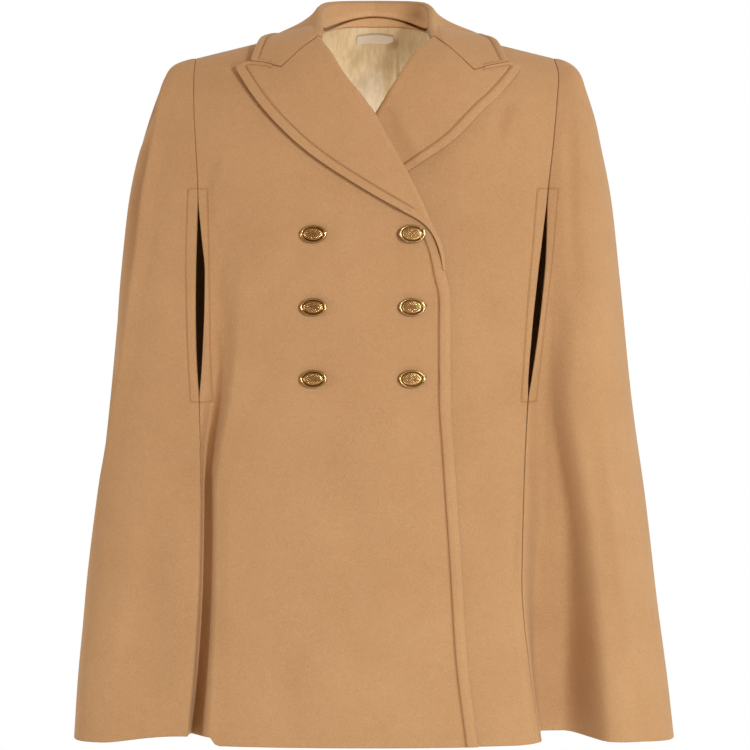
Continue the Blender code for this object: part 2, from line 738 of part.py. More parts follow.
def join_collar(side, start, end, place, shares):
    """Carry the collar's roll round the front's edge, from its own last row to its lapel's first."""
    frames = []
    for at in (place, 1.0, *(place + (1 - place) * shares)):
        z = front_neck_height(np.array([at]))
        frames.append([value[0] for value in roll_frame(side, z)])
    around = []
    for row, (centre, out, normal) in zip((start, end), frames[:2]):
        away = row - centre
        across = away @ out
        above = away @ normal
        along = away @ np.cross(out, normal)
        around.append((np.hypot(across, above), np.arctan2(above, across), along))
    straight = start + (end - start) * shares[:, None, None]
    rows = []
    for share, line, (centre, out, normal) in zip(shares, straight, frames[2:]):
        radius, angle, along = [a + (b - a) * share for a, b in zip(*around)]
        ring = centre + (np.cos(angle) * radius)[:, None] * out + (np.sin(angle) * radius)[:, None] * normal
        ring = ring + along[:, None] * np.cross(out, normal)
        bow = (ring[5] - line[5]) * np.clip(1.9 - np.arange(len(line)) / 6, 0, 1)[:, None]
        rows.append(np.where(np.arange(len(line))[:, None] < 6, ring, line + bow))
    return np.stack(rows)


def neck_seam(place, sign):
    """Return the line that the collar stands on, and the way out from the neck along it."""
    size = np.clip(place, 0, BACK_NECK)
    back_x, back_y, back_z = back_top(size)
    front_z = front_neck_height(place)
    front_x = np.abs(panel_edge("right" if sign < 0 else "left", front_z))
    front_y = -front_depth(front_x, front_z)
    behind = place <= BACK_NECK
    x = np.where(behind, back_x, front_x)
    y = np.where(behind, back_y, front_y)
    z = np.where(behind, back_z, front_z)
    points = np.stack([sign * x, y, z], axis=-1)
    way = np.stack([sign * np.abs(x) / NECK_X, np.maximum(y, 0) / NECK_BACK, 0 * x], axis=-1)
    return points, unit(way)


def collar_rows(side, count, places):
    """Return the collar's middle layer from the centre back to where one gorge begins."""
    sign = -1 if side == "right" else 1
    read = {name: interpolate(COLLAR["neck"], COLLAR[name], places) for name in COLLAR}
    shift = COLLAR_SHIFT * smooth(read["edge_x"] / 60)
    centre = np.stack([sign * read["x"], read["y"], read["z"]], axis=-1)
    edge = np.stack([sign * read["edge_x"] + shift, read["edge_y"], read["edge_z"]], axis=-1)
    path = np.gradient(centre, axis=0)
    path[0] = (sign, 0, 0)
    path = unit(path)
    up = np.array((0.0, 0.0, 1.0))
    inward = unit(np.cross(path, up)) * sign
    lean = np.radians(read["lean"])[:, None]
    out = unit(inward * np.cos(lean) + up * np.sin(lean))
    out = unit(out - path * np.sum(out * path, axis=-1, keepdims=True))
    normal = unit(np.cross(out, path)) * sign
    corners, ways = neck_seam(np.array(NECK_PLACES), sign)
    seam = np.stack([polyline(NECK_PLACES, corners[:, axis], places) for axis in range(3)], axis=-1)
    way = unit(np.stack([polyline(NECK_PLACES, ways[:, axis], places) for axis in range(3)], axis=-1))
    rows = [seam - way * (WOOL + 0.2) + up * (SEAM_GAP + 0.7)]
    for angle in (-90, -45, 0, 45):
        turn = math.radians(angle)
        rows.append(centre + (out * math.cos(turn) + normal * math.sin(turn)) * COLLAR_ROLL)
    start = centre + normal * COLLAR_ROLL
    reach = np.linalg.norm(edge - start, axis=-1, keepdims=True)
    down = start - out * reach * interpolate(COLLAR["neck"], COLLAR["hold"], places)[:, None]
    flare = unit((edge - start) * (1, 1, 0)) - up * 0.6
    arrive = edge - unit(flare) * reach * 0.34
    for share in np.linspace(0, 1, count - len(rows)):
        rows.append(bezier(start, down, arrive, edge, np.full(len(places), share)))
    return np.stack(rows, axis=1)


def lift_over_body(points, clearance):
    """Move points out to clear the shoulders and the back where they are too close to them."""
    x, y, z = np.moveaxis(points, -1, 0)
    reach = np.maximum(np.abs(x), NECK_X)
    centre = shoulder_z(reach) - SHOULDER_ROUND
    depth = np.where(y < 0, front_flat(x, z), back_depth(x, z))
    away = np.hypot(y / depth, (z - centre) / SHOULDER_ROUND)
    wanted = 1 + clearance / SHOULDER_ROUND
    push = np.where((z > centre) & ((np.abs(x) > NECK_X) | (y < 0)), np.maximum(wanted / away, 1), 1)
    y = y * push
    z = centre + (z - centre) * push
    size = BACK_NECK * (1 - np.arccos(np.clip(np.abs(x) / NECK_X, 0, 1)) / (math.pi / 2))
    behind = (y > 0) & (np.abs(x) < NECK_X) & (z < back_top(size)[2] - 0.5)
    y = np.where(behind, np.maximum(y, back_behind(size, x, z) + clearance), y)
    return np.stack([x, y, z], axis=-1)


def make_material(name, colour, roughness, metallic=0.0):
    """Make a plain material."""
    material = bpy.data.materials.new(name)
    material.use_nodes = True
    shader = material.node_tree.nodes["Principled BSDF"]
    shader.inputs["Base Color"].default_value = (*colour, 1.0)
    shader.inputs["Roughness"].default_value = roughness
    shader.inputs["Metallic"].default_value = metallic
    return material


def add_object(name, mesh, material, collection):
    """Put a mesh into the scene as a named sub-part."""
    mesh.materials.append(material)
    part = bpy.data.objects.new(name, mesh)
    collection.objects.link(part)
    return part


def make_wall(name, outer, inner, material, collection):
    """Make a closed wall of cloth between an outer and an inner grid of points."""
    rows, columns = outer.shape[:2]
    corners = np.concatenate([outer.reshape(-1, 3), inner.reshape(-1, 3)]) * MM
    count = rows * columns
    index = np.arange(count).reshape(rows, columns)
    faces = []
    for row in range(rows - 1):
        for column in range(columns - 1):
            a = index[row, column]
            b = index[row, column + 1]
            c = index[row + 1, column + 1]
            d = index[row + 1, column]
            faces += [(a, b, c), (a, c, d)]
            faces += [(c + count, b + count, a + count), (d + count, c + count, a + count)]
    ring = list(index[0, :]) + list(index[1:, -1]) + list(index[-1, -2::-1]) + list(index[-2:0:-1, 0])
    for here, there in zip(ring, ring[1:] + ring[:1]):
        faces += [(there, here, here + count), (there, here + count, there + count)]
    mesh = bpy.data.meshes.new(name)
    mesh.from_pydata([tuple(p) for p in corners], [], [tuple(int(i) for i in f) for f in faces])
    shape = bmesh.new()
    shape.from_mesh(mesh)
    bmesh.ops.recalc_face_normals(shape, faces=shape.faces)
    if shape.calc_volume(signed=True) < 0:
        bmesh.ops.reverse_faces(shape, faces=shape.faces)
    shape.to_mesh(mesh)
    shape.free()
    mesh.shade_smooth()
    mesh.set_sharp_from_angle(angle=math.radians(50))
    return add_object(name, mesh, material, collection)


# Where the columns of corners run on each panel: over a front from its side seam to its front
# edge, over a side from the front seam by the side line to the back seam, and over the back.
FRONT_COLUMNS = (0, 0.035, 0.075, 0.12, 0.17, 0.23, 0.3, 0.4, 0.52, 0.66, 0.8, 0.838, 0.87, 0.96, 1.0)
SIDE_COLUMNS = (0, 0.03, 0.06, 0.1, 0.16, 0.22, 0.28, 0.34, 0.42, 0.52, 0.64, 0.76, 0.88, 1,
                1.16, 1.32, 1.48, 1.64, 1.82, 2)
HALF_BACK_COLUMNS = (0, 0.09, 0.18, 0.27, 0.38, 0.49, 0.61, 0.74, 0.87, 1)
BACK_COLUMNS = tuple(-u for u in HALF_BACK_COLUMNS[:0:-1]) + HALF_BACK_COLUMNS


def ring_numbers():
    """Return the ring numbers at which the solids have a row of points."""
    between = (1, 1, 1, 1, 1, 1, 1, 1, 1, 2, 3, 4, 3, 3, 2, 2)
    numbers = []
    for ring, count in enumerate(between):
        numbers += [ring + step / count for step in range(count)]
    return np.array(numbers + [len(between)], float)


def build_panels(materials, collection):
    """Build the fronts, the sides and the back, and return the back's grid for what lies on it."""
    rings = ring_numbers()
    ring_front, u = np.meshgrid(rings, FRONT_COLUMNS, indexing="ij")
    ring_side, s = np.meshgrid(rings, SIDE_COLUMNS, indexing="ij")
    ring_back, b = np.meshgrid(rings, BACK_COLUMNS, indexing="ij")
    grids = {}
    normals = {}
    reliefs = {}
    for side in ("right", "left"):
        grids["front_" + side], reliefs["front_" + side] = front_panel(side, u, ring_front)
        grids["side_" + side] = side_panel(side, s, ring_side)
    grids["back"] = back_panel(b, ring_back)
    for name, points in grids.items():
        normals[name] = grid_normals(points)
    for name in ("front_left", "side_right"):
        normals[name] *= -1
    normals["back"] *= -1
    for name in grids:
        middle = grids[name][12, 7]
        facing = normals[name][12, 7]
        if np.dot(facing[:2], middle[:2]) < 0:
            normals[name] *= -1
    for side in ("right", "left"):
        share_normals(normals["front_" + side][:, 0], normals["side_" + side][:, 0])
    share_normals(normals["back"][:, 0], normals["side_right"][:, -1])
    share_normals(normals["back"][:, -1], normals["side_left"][:, -1])
    for name in ("side_right", "side_left"):
        blend_normals(normals[name], s[0], 4)
        normals[name][1, 4:-1] = unit(normals[name][1, 4:-1] + (0, 0, 1.0))
    for name, points in grids.items():
        seam_row = normals[name][0]
        on_shoulder = np.abs(points[0, :, 1]) < 1.6
        lean = np.zeros_like(seam_row)
        lean[:, 0] = np.sign(points[0, :, 0]) * SHOULDER_SLOPE
        lean[:, 2] = 1
        seam_row[on_shoulder] = unit(lean)[on_shoulder]
    colours = {"back": materials["wool_back"]}
    for name, points in grids.items():
        thick = WOOL
        if name.startswith("side"):
            below = on_ring("seam_drop", ring_side)[..., None]
            thick = SIDE_TOP_THICK + (WOOL - SIDE_TOP_THICK) * smooth(below / SIDE_TOP_FADE)
        inner = points - normals[name] * thick
        outer = points + reliefs.get(name, 0.0)
        make_wall(name, outer, inner, colours.get(name, materials["wool"]), collection)
    return grids["back"], normals["back"], ring_back, b


def build_inside(back, normals, materials, collection):
    """Build what lies inside the back: the neck facing, the half lining and the blank label."""
    middle = back.shape[1] // 2
    layers = (
        ("neck_facing", slice(0, 4), 4, 0.0, FACING, materials["wool_inside"]),
        ("back_lining", slice(3, 15), 6, 0.0, LINING, materials["lining"]),
        ("label", slice(4, 6), 1, LINING + LAYER_GAP, LABEL_THICK, materials["label"]),
    )
    for name, rows, reach, inside, thick, material in layers:
        columns = slice(middle - reach, middle + reach + 1)
        points = back[rows, columns].copy()
        inward = -normals[rows, columns]
        if name == "back_lining":
            points[0] += unit(points[1] - points[0]) * SEAM_GAP
        offset = WOOL + LAYER_GAP + inside
        make_wall(name, points + inward * offset, points + inward * (offset + thick), material, collection)


def build_lapels(materials, collection):
    """Build both lapels and return their gorges: the middle layer, its normals and its thickness."""
    gorges = {}
    for side in ("right", "left"):
        points, thickness = lapel_grid(side)
        normals = grid_normals(points)
        check = surface_normal(points[8, 12, 0], points[8, 12, 2], side)
        if np.dot(normals[8, 12], check) < 0:
            normals = -normals
        half = normals * (thickness / 2)[..., None]
        make_wall("lapel_" + side, points + half, points - half, materials["wool_facing"], collection)
        gorges[side] = (points[-1, :-2], normals[-1, :-2], thickness[-1, :-2])
    return gorges


def build_collar(gorges, materials, collection):
    """Build the collar round the neck, from gorge to gorge."""
    places = np.array(COLLAR_PLACES)
    halves = {}
    for side in ("right", "left"):
        gorge, facing, _ = gorges[side]
        along = np.gradient(gorge, axis=0)
        across = unit(np.cross(facing, along))
        across = across * np.sign(across[:, 2:3])
        end = gorge + across * 0.4
        half = collar_rows(side, len(gorge), places)
        joining = join_collar(side, half[-1], end, places[-1], np.array((0.3, 0.6, 0.85)))
        half = np.concatenate([half, joining], axis=0)
        half[:, 6:] = lift_over_body(half[:, 6:], COLLAR_LIFT)
        halves[side] = np.concatenate([half, end[None]], axis=0)
    points = np.concatenate([halves["right"][::-1], halves["left"][1:]], axis=0)
    normals = grid_normals(points)
    middle = len(points) // 2
    if normals[middle, -2][1] < 0:
        normals = -normals
    thickness = np.full(points.shape[:2], COLLAR_THICK)
    normals[0] = gorges["right"][1]
    normals[-1] = gorges["left"][1]
    thickness[0] = gorges["right"][2]
    thickness[-1] = gorges["left"][2]
    half = normals * (thickness / 2)[..., None]
    make_wall("collar", points + half, points - half, materials["wool_collar"], collection)


def build_buttons(materials, collection):
    """Build the six shank buttons: an oval cap with a raised rim round a sunken, domed middle."""
    front = bpy.data.objects["front_right"].data
    corners = [vertex.co for vertex in front.vertices]
    cloth = BVHTree.FromPolygons(corners, [tuple(face.vertices) for face in front.polygons])
    number = 0
    profile = ((0.0, 0.35), (3.0, 0.35), (3.0, BUTTON_STEM), (12.6, BUTTON_STEM), (14.6, BUTTON_STEM + 0.9),
               (14.3, BUTTON_STEM + 2.1), (12.9, BUTTON_STEM + 2.5), (11.7, BUTTON_STEM + 2.0),
               (10.9, BUTTON_STEM + 1.4), (5.5, BUTTON_STEM + 2.0), (0.0, BUTTON_STEM + 2.3))
    for z in BUTTON_ROWS:
        for x in BUTTON_COLUMNS:
            number += 1
            raised = BUTTON_INNER_RAISE if x > 0 and z > BUTTON_ROWS[1] else 0.0
            spot = surface_point(np.array(x), np.array(z), "right")
            out = surface_normal(np.array(x), np.array(z), "right")
            start = Vector((spot + out * 10) * MM)
            spot = np.array(cloth.ray_cast(start, Vector(-out))[0]) / MM
            across = unit(np.cross(np.array((0.0, 0.0, 1.0)), out))
            up = np.cross(out, across)
            shape = bmesh.new()
            previous = None
            for radius, height in profile:
                vertex = shape.verts.new((radius, 0, height))
                if previous is not None:
                    shape.edges.new((previous, vertex))
                previous = vertex
            outline = list(shape.verts) + list(shape.edges)
            bmesh.ops.spin(shape, geom=outline, cent=(0, 0, 0), axis=(0, 0, 1), angle=math.tau,
                           steps=20, use_merge=True, use_duplicate=False)
            bmesh.ops.remove_doubles(shape, verts=shape.verts, dist=0.01)
            bmesh.ops.recalc_face_normals(shape, faces=shape.faces)
            oval = BUTTON_HALF_HEIGHT / BUTTON_HALF_WIDTH
            for vertex in shape.verts:
                local = np.array(vertex.co)
                squash = 1 if local[2] <= BUTTON_STEM and math.hypot(local[0], local[1]) < 3.5 else oval
                height = local[2] + (raised if local[2] >= BUTTON_STEM - 0.01 else 0)
                place = spot + across * local[0] + up * local[1] * squash + out * height
                vertex.co = tuple(place * MM)
            if shape.calc_volume(signed=True) < 0:
                bmesh.ops.reverse_faces(shape, faces=shape.faces)
            mesh = bpy.data.meshes.new("button_%d" % number)
            shape.to_mesh(mesh)
            shape.free()
            mesh.shade_smooth()
            mesh.set_sharp_from_angle(angle=math.radians(40))
            add_object("button_%d" % number, mesh, materials["brass"], collection)


def main():
    for item in list(bpy.data.objects):
        bpy.data.objects.remove(item, do_unlink=True)
    collection = bpy.data.collections.new("wool_cape")
    bpy.context.scene.collection.children.link(collection)
    materials = {
        "wool": make_material("camel_wool", (0.52, 0.30, 0.13), 0.9),
        "wool_back": make_material("camel_wool_back", (0.50, 0.29, 0.125), 0.9),
        "wool_facing": make_material("camel_wool_facing", (0.54, 0.31, 0.135), 0.9),
        "wool_collar": make_material("camel_wool_collar", (0.53, 0.305, 0.13), 0.9),
        "wool_inside": make_material("camel_wool_inside", (0.48, 0.28, 0.12), 0.9),
        "lining": make_material("lining_satin", (0.66, 0.48, 0.24), 0.35),
        "label": make_material("label_ribbon", (0.78, 0.70, 0.56), 0.6),
        "brass": make_material("brass", (0.62, 0.42, 0.13), 0.3, 1.0),
    }
    back, normals, _, _ = build_panels(materials, collection)
    build_inside(back, normals, materials, collection)
    lapels = build_lapels(materials, collection)
    build_collar(lapels, materials, collection)
    build_buttons(materials, collection)


main()
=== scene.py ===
"""The looks of the wool cape, on the frame that the CAD model gives.

The panels are the CAD's own functions with many more rows and columns, so each piece lies where its
node does. On top come the creases, the rounded edges, the stitching and the materials.
"""
import math

import bpy
import numpy as np
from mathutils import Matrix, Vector
from mathutils.bvhtree import BVHTree


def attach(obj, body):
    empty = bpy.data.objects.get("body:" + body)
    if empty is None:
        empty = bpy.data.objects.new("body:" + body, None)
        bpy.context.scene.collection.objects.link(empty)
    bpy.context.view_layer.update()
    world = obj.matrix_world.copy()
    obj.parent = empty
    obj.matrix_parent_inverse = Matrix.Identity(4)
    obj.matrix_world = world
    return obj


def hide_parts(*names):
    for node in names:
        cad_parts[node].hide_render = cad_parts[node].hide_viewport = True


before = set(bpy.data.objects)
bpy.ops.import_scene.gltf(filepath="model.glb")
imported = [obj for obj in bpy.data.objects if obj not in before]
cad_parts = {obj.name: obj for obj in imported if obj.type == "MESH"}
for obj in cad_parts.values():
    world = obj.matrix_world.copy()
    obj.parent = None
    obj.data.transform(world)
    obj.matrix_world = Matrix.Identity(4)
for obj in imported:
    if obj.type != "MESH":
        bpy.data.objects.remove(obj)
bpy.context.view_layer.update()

MM = 0.001
# The gap at the seams, the cloths' thicknesses and the gap between layers, in millimetres.
SEAM_GAP = 0.06
WOOL = 2.6
FACING = 1.6
LINING = 1.0
LABEL_THICK = 1.0
LAYER_GAP = 0.4
# The shoulders, and the base of the neck where the panels end.
SHOULDER_X = 200.0
SHOULDER_Z = -21.0
SHOULDER_SLOPE = 0.243
SHOULDER_ROUND = 75.0
NECK_X = 62.0
NECK_BACK = 62.0
NECK_BACK_RISE = 19.0
BACK_NECK = 0.38
FACING_RINGS = 3.0
FRONT_NECK_ANGLE = math.radians(39.9)
# The hem: its height, how much the folds raise it, and how the left front curls back at its seam.
HEM_Z = -780.0
HEM_DROP = SHOULDER_Z - HEM_Z
FRONT_HEM_RISE = 2.5
FOLD_HEM_RISE = 9.0
LEFT_HEM_RISE = 1.5
LEFT_HEM_REACH = 28.0
FOLD_HEM_REACH = 9.0
RECESS_HEM_RISE = 0.1
BACK_HEM_RISE = 0.05
LEFT_CURL = 12.0
LEFT_CURL_REACH = 12.0
LEFT_CURL_TOP = -560.0
# How flat the fronts and the back are across, how full the sides are at the front, behind the side
# and at the back seam, and how they leave the back.
FLATNESS = 2.4
SIDE_FULLNESS = 0.78
REAR_FULLNESS = 0.52
BACK_FULLNESS = 0.5
BACK_SLOPE = 0.3
# The side of the middle that each half of the cape is on.
SIGN = {"right": -1, "left": 1}
# The shares of a front's columns that its fold, its seam side and its edge take, and the widths of
# the last two; how far down the columns reach their places and the creases their depth, and where
# the hem's own rise starts.
FOLD_SHARE = 0.075
SEAM_SHARE = 0.3
EDGE_SHARE = 0.2
SEAM_REACH = 22.0
EDGE_REACH = 17.0
TOP_FADE = 160.0
SHOULDER_FADE = 60.0
HEM_FADE = 0.7
# The thickness of the side panels' top edges.
SIDE_TOP = 1.0
# Where in the seam's gap the fold beside it starts.
VALLEY_START = 0.45


def table(names, *rows):
    """Return a table's columns by name."""
    return dict(zip(names.split(), np.array(rows, float).T))


# One row for each ring, from the shoulder point to the hem: how far it lies below the shoulder point
# at the seams and at the side, how wide the cape is there on each side, and how far back its side is.
RINGS = table(
    "seam_drop side_drop right_width left_width side_back",
    (0, 0, 201.2, 201.2, 0),
    (1.5, 0.8, 206, 206, 0),
    (5, 3, 213.5, 212.5, 1),
    (10, 6.5, 222, 219, 1),
    (17, 12, 229, 225.5, 2),
    (26, 22, 234.8, 231.5, 3),
    (38, 35, 241, 235.5, 4),
    (54, 52, 247.5, 241, 5),
    (72, 71, 254, 246.5, 6),
    (102, 102, 263, 253, 8),
    (158, 158, 275, 264, 10),
    (248, 248, 285, 274, 11),
    (382, 382, 297.5, 287.5, 12),
    (494, 494, 310, 303, 12),
    (606, 606, 324, 316, 12),
    (696, 696, 333, 328, 12),
    (HEM_DROP, HEM_DROP, 337, 335, 12),
)

# The cape's depth in front of and behind the origin at each height: at the centre and at the seams,
# with where those seams run and how the side panels leave them.
PROFILE = table(
    "z centre right_depth left_depth right_seam left_seam right_slope left_slope "
    "back back_depth back_seam",
    (40, 85, 62, 62, 200, 200, 0.35, 0.35, 60, 60, 200),
    (0, 89, 62, 62, 200, 200, 0.35, 0.35, 74, 62, 200),
    (-21, 92, 62, 62, 200, 200, 0.35, 0.35, 80, 64, 200),
    (-42, 95, 63, 63, 200.5, 203, 0.35, 0.30, 87, 66, 199),
    (-75, 101, 70, 70, 199.5, 200, 0.35, 0.15, 97, 74, 198),
    (-123, 113, 84, 83, 196.5, 195, 0.33, -0.05, 108, 84, 196),
    (-179, 122, 92, 92, 193.5, 188.5, 0.32, -0.20, 114, 92, 194),
    (-241, 126, 97, 97, 193, 183.5, 0.30, -0.28, 117, 96, 191),
    (-332, 128, 101, 101, 193, 174, 0.30, -0.34, 120, 99, 189),
    (-404, 127, 103, 102, 191.5, 166.5, 0.30, -0.34, 122, 101, 188),
    (-502, 128, 104, 103, 189.5, 162, 0.30, -0.15, 129, 106, 191),
    (-600, 131, 105, 103, 191, 160, 0.32, 0.05, 138, 112, 196),
    (-700, 134, 106, 104, 196.5, 169, 0.34, 0.15, 147, 118, 202),
    (HEM_Z, 138, 107, 105, 203.5, 181, 0.34, 0.20, 155, 122, 208),
)

# The front edges: the roll lines of the lapels down to the break, and the open edges below it.
EDGES = table(
    "z top under",
    (12.5, -57.1, 57.1),
    (5, -57.7, 59.3),
    (-3, -58.6, 61),
    (-25, -46, 41.5),
    (-43, -36, 29.5),
    (-91, 0, 0),
    (-115, 13, -14),
    (-148, 31.3, -32),
    (-186, 50.6, -51),
    (-211, 61.4, -61),
    (-235, 72.2, -72),
    (-250, 76.2, -76),
    (-278, 80.3, -80),
    (-294, 82.2, -82),
    (-391, 82.2, -82),
    (-467, 86.5, -82),
    (-575, 93.7, -84),
    (-685, 100.5, -86),
    (HEM_Z, 112, -88),
)

# The room that the top front leaves for the under one and its lapel, and how far beyond the edge it
# fades.
UNDER_FADE = 110.0
UNDER_ROOM = table(
    "z room",
    (12.5, 0),
    (-35, 4.6),
    (-80, 9.8),
    (-200, 9.8),
    (-240, 6.8),
    (-280, 6.0),
    (-320, 4.8),
    (HEM_Z, 4.8),
)

# How far each arm slit stands open: what the front and the side give way at each height.
SLITS = table(
    "z right_front right_side left_front left_side",
    (-150, 0, 0, 0, 0),
    (-181, 0.2, 0.2, 0.2, 0.2),
    (-222, 3.4, 1.6, 2.0, 2.0),
    (-264, 7.4, 2.4, 3.5, 3.5),
    (-305, 6.9, 2.7, 3.7, 3.7),
    (-346, 5.2, 2.2, 2.9, 2.9),
    (-380, 2.4, 1.2, 1.6, 1.6),
    (-400, 0.2, 0.2, 0.2, 0.2),
    (-430, 0, 0, 0, 0),
)

# The deep fold that the right front makes beside its seam: its distance from the seam, its reach
# towards the seam and away from it, and its depth.
VALLEY = table(
    "z centre inner outer depth",
    (-235, 36, 20, 24, 0),
    (-294, 25, 18, 22, 6),
    (-348, 24, 16, 21, 10),
    (-388, 19, 14, 20, 13),
    (-424, 12, 10, 20, 16),
    (-457, 6, 6, 19, 17),
    (-506, 2.5, 2.5, 17, 19),
    (-600, 2.5, 2.5, 18, 21),
    (-700, 2.5, 2.5, 20, 26),
    (HEM_Z, 2.5, 2.5, 23, 33),
)

# The wide fold in the left side: where its floor starts and ends and where it is out again, measured
# from the seam, its depth, and the swell beyond it.
RECESS = table(
    "z near far rise depth swell",
    (-250, 10, 12, 40, 0, 0),
    (-330, 10, 14, 44, 10, 0.5),
    (-404, 12, 20, 50, 18, 1.5),
    (-471, 16, 34, 64, 26, 3),
    (-548, 20, 50, 82, 34, 4),
    (-627, 20, 55, 88, 43, 5),
    (-700, 16, 48, 84, 53, 6),
    (HEM_Z, 13, 40, 76, 59, 7),
)

# The long ridge in the right side, from the shoulder point to the side near the hem: its distance
# in from the side, its height, and the depth of the hollow behind it.
RIDGE = table(
    "z inset height hollow",
    (-25, 3, 0, 0),
    (-52, 7, 2.5, 2),
    (-92, 15, 4, 4),
    (-133, 21, 4.5, 6),
    (-224, 23, 4.5, 5),
    (-292, 20, 4.5, 4.5),
    (-356, 17, 4.5, 4),
    (-407, 12, 4, 3.5),
    (-451, 10, 3.5, 3),
    (-497, 6, 3, 2.5),
    (-591, 2.5, 1.5, 1),
    (-680, 2, 0, 0),
    (HEM_Z, 2, 0, 0),
)

# The flutes of the back and of the sides behind: where each starts, its place across the panel there
# and at the hem, its half width, and its depth at the hem.
BACK_FLUTES = table(
    "top start place half depth",
    (-300, -88, -118, 58, 26),
    (-240, -8, -12, 60, 22),
    (-330, 78, 104, 56, 28),
)
SIDE_FLUTES = table(
    "side top start place half depth",
    (-1, -280, 1.50, 1.46, 0.34, 30),
    (1, -310, 1.44, 1.40, 0.34, 28),
)

# The lapels' edges, from their lower ends up to their peaks. The left one ends out of sight below the
# right front, on a line of its own.
LAPEL_EDGE_RIGHT = table(
    "share x z",
    (0, 73.2, -262),
    (0.05, 71, -249),
    (0.10, 67.3, -236),
    (0.15, 61.8, -224),
    (0.20, 50.5, -211),
    (0.273, 29.2, -198.7),
    (0.416, -13, -174.6),
    (0.614, -69, -137.6),
    (0.768, -107.4, -102.5),
    (0.895, -134.5, -69),
    (1, -153.7, -39.2),
)
LAPEL_EDGE_LEFT = table(
    "share x z",
    (0, 10, -172),
    (0.16, 35.7, -155.2),
    (0.5, 87.3, -119.7),
    (0.76, 120.6, -84.6),
    (0.9, 146, -59),
    (1, 160.5, -40),
)
LAPEL_END_LEFT = table(
    "share x z",
    (0, -28, -150),
    (0.4, -13, -161),
    (0.78, 0, -168),
    (1, 10, -172),
)

GORGE = table(
    "share right_x right_z left_x left_z",
    (0, -62.5, -5, 65, -5),
    (0.46, -101.3, -42, 107, -45),
    (0.64, -120, -37.5, 127, -40),
    (0.82, -136, -35.4, 146, -36),
    (1, -153.7, -39.2, 160.5, -40),
)

# The lapels: their thickness, the ends of their rolls, and how they lie on the fronts.
LAPEL_THICK = 2.4
LAPEL_TIP_THICK = 0.9
LAPEL_ROLL_TOP = -5.0
LAPEL_ROLL_LOW = {"right": -262.0, "left": -150.0}
LAPEL_TAPER = 80.0
LAPEL_LEG = 6.0
LAPEL_EASE = 1.1
LAPEL_LIFT = 3.0
LAPEL_CORNER_REACH = 0.09
# How far a lapel's edge is pressed down onto the front, over what width.
LAPEL_PRESS = 1.6
LAPEL_PRESS_WIDTH = 16.0
COLLAR_ROLL = 3.2

# The collar, from the centre back to the gorge: where on the neckline it stands, the centre of its
# roll, how far the fold leans from level to upright, and its outer edge.
COLLAR = table(
    "neck x y z lean hold edge_x edge_y edge_z",
    (0, 0, 63, 46.8, 90, 0.36, 0, 75.5, -12),
    (0.16, 34, 54, 45.4, 85, 0.34, 50, 62.4, -10.4),
    (0.27, 55, 30, 40.8, 68, 0.30, 90, 42, -7),
    (0.38, 62.5, 2, 31.5, 58, 0.28, 116, 6, 2.5),
    (0.62, 63.0, -26, 12.5, 56, 0.34, 131, -22, -14),
)
COLLAR_ROOM = 1.2
COLLAR_THICK = 2.8
COLLAR_LIFT = 4.4
COLLAR_SHIFT = 3.5
COLLAR_END = 0.62

# The raised margin along the front edge, inside its row of stitches.
WELT_WIDTH = 13.8
WELT_RAISE = 1.5
WELT_GROOVE = 0.9
WELT_TOP_Z = -215.0

# The buttons: their columns and rows, how much further out the top inner one stands, and their size.
BUTTON_COLUMNS = (-66.5, 40.0)
BUTTON_ROWS = (-223.0, -302.0, -379.5)
BUTTON_INNER_RAISE = 2.3
BUTTON_HALF_HEIGHT = 9.8
BUTTON_HALF_WIDTH = 14.6
BUTTON_STEM = 2.2
BUTTON_TURNS = 96
# The round ends of the buttonholes, and the pitch, length and radius of their stitches.
BUTTONHOLE_ENDS = ((54.8, -300.2), (53.7, -377.4))
BUTTONHOLE_STITCH = (9.0, 1.9, 0.28)


def interpolate(keys, values, at):
    """Return a smooth curve through a table's column, with no overshoot between its rows."""
    keys = np.asarray(keys, float)
    values = np.asarray(values, float)
    if keys[0] > keys[-1]:
        keys, values = keys[::-1], values[::-1]
    steps = np.diff(keys)
    slopes = np.diff(values) / steps
    before, after = slopes[:-1], slopes[1:]
    first = 2 * steps[1:] + steps[:-1]
    second = steps[1:] + 2 * steps[:-1]
    same_way = before * after > 0
    safe_before, safe_after = np.where(same_way, before, 1), np.where(same_way, after, 1)
    mean = (first + second) / (first / safe_before + second / safe_after)
    tangents = np.concatenate([slopes[:1], np.where(same_way, mean, 0), slopes[-1:]])
    at = np.clip(np.asarray(at, float), keys[0], keys[-1])
    index = np.clip(np.searchsorted(keys, at, side="right") - 1, 0, len(steps) - 1)
    step = steps[index]
    t = (at - keys[index]) / step
    value = values[index] * (1 + 2 * t) * (1 - t) ** 2 + tangents[index] * step * t * (1 - t) ** 2
    return value + values[index + 1] * t * t * (3 - 2 * t) + tangents[index + 1] * step * t * t * (t - 1)


def polyline(keys, values, at):
    """Return straight lines through a table's column."""
    return np.interp(at, keys, values)


def rows_of(columns, sign=None):
    """Return a table's rows, or only those of one side without their side column."""
    rows = np.array(list(columns.values())).T
    return rows if sign is None else rows[rows[:, 0] == sign, 1:]


def at_height(columns, name, z):
    """Read a column of a table that is keyed by height."""
    return interpolate(columns["z"], columns[name], z)


def on_ring(name, ring):
    """Read a column of RINGS at a whole or part ring number."""
    return interpolate(np.arange(len(RINGS[name])), RINGS[name], ring)


def seam_x(side, z):
    """Return how far from the middle a front seam runs."""
    return at_height(PROFILE, side + "_seam", z)


def smooth(t):
    """Ease from 0 to 1."""
    t = np.clip(t, 0, 1)
    return t * t * (3 - 2 * t)


def bump(t):
    """Return a soft hump of height 1 at 0, which ends at -1 and 1."""
    t = np.clip(t, -1, 1)
    return (1 - t * t) ** 2


def shoulder_z(x):
    """Return the height of the shoulder seam."""
    return SHOULDER_Z + SHOULDER_SLOPE * (SHOULDER_X - np.abs(x))


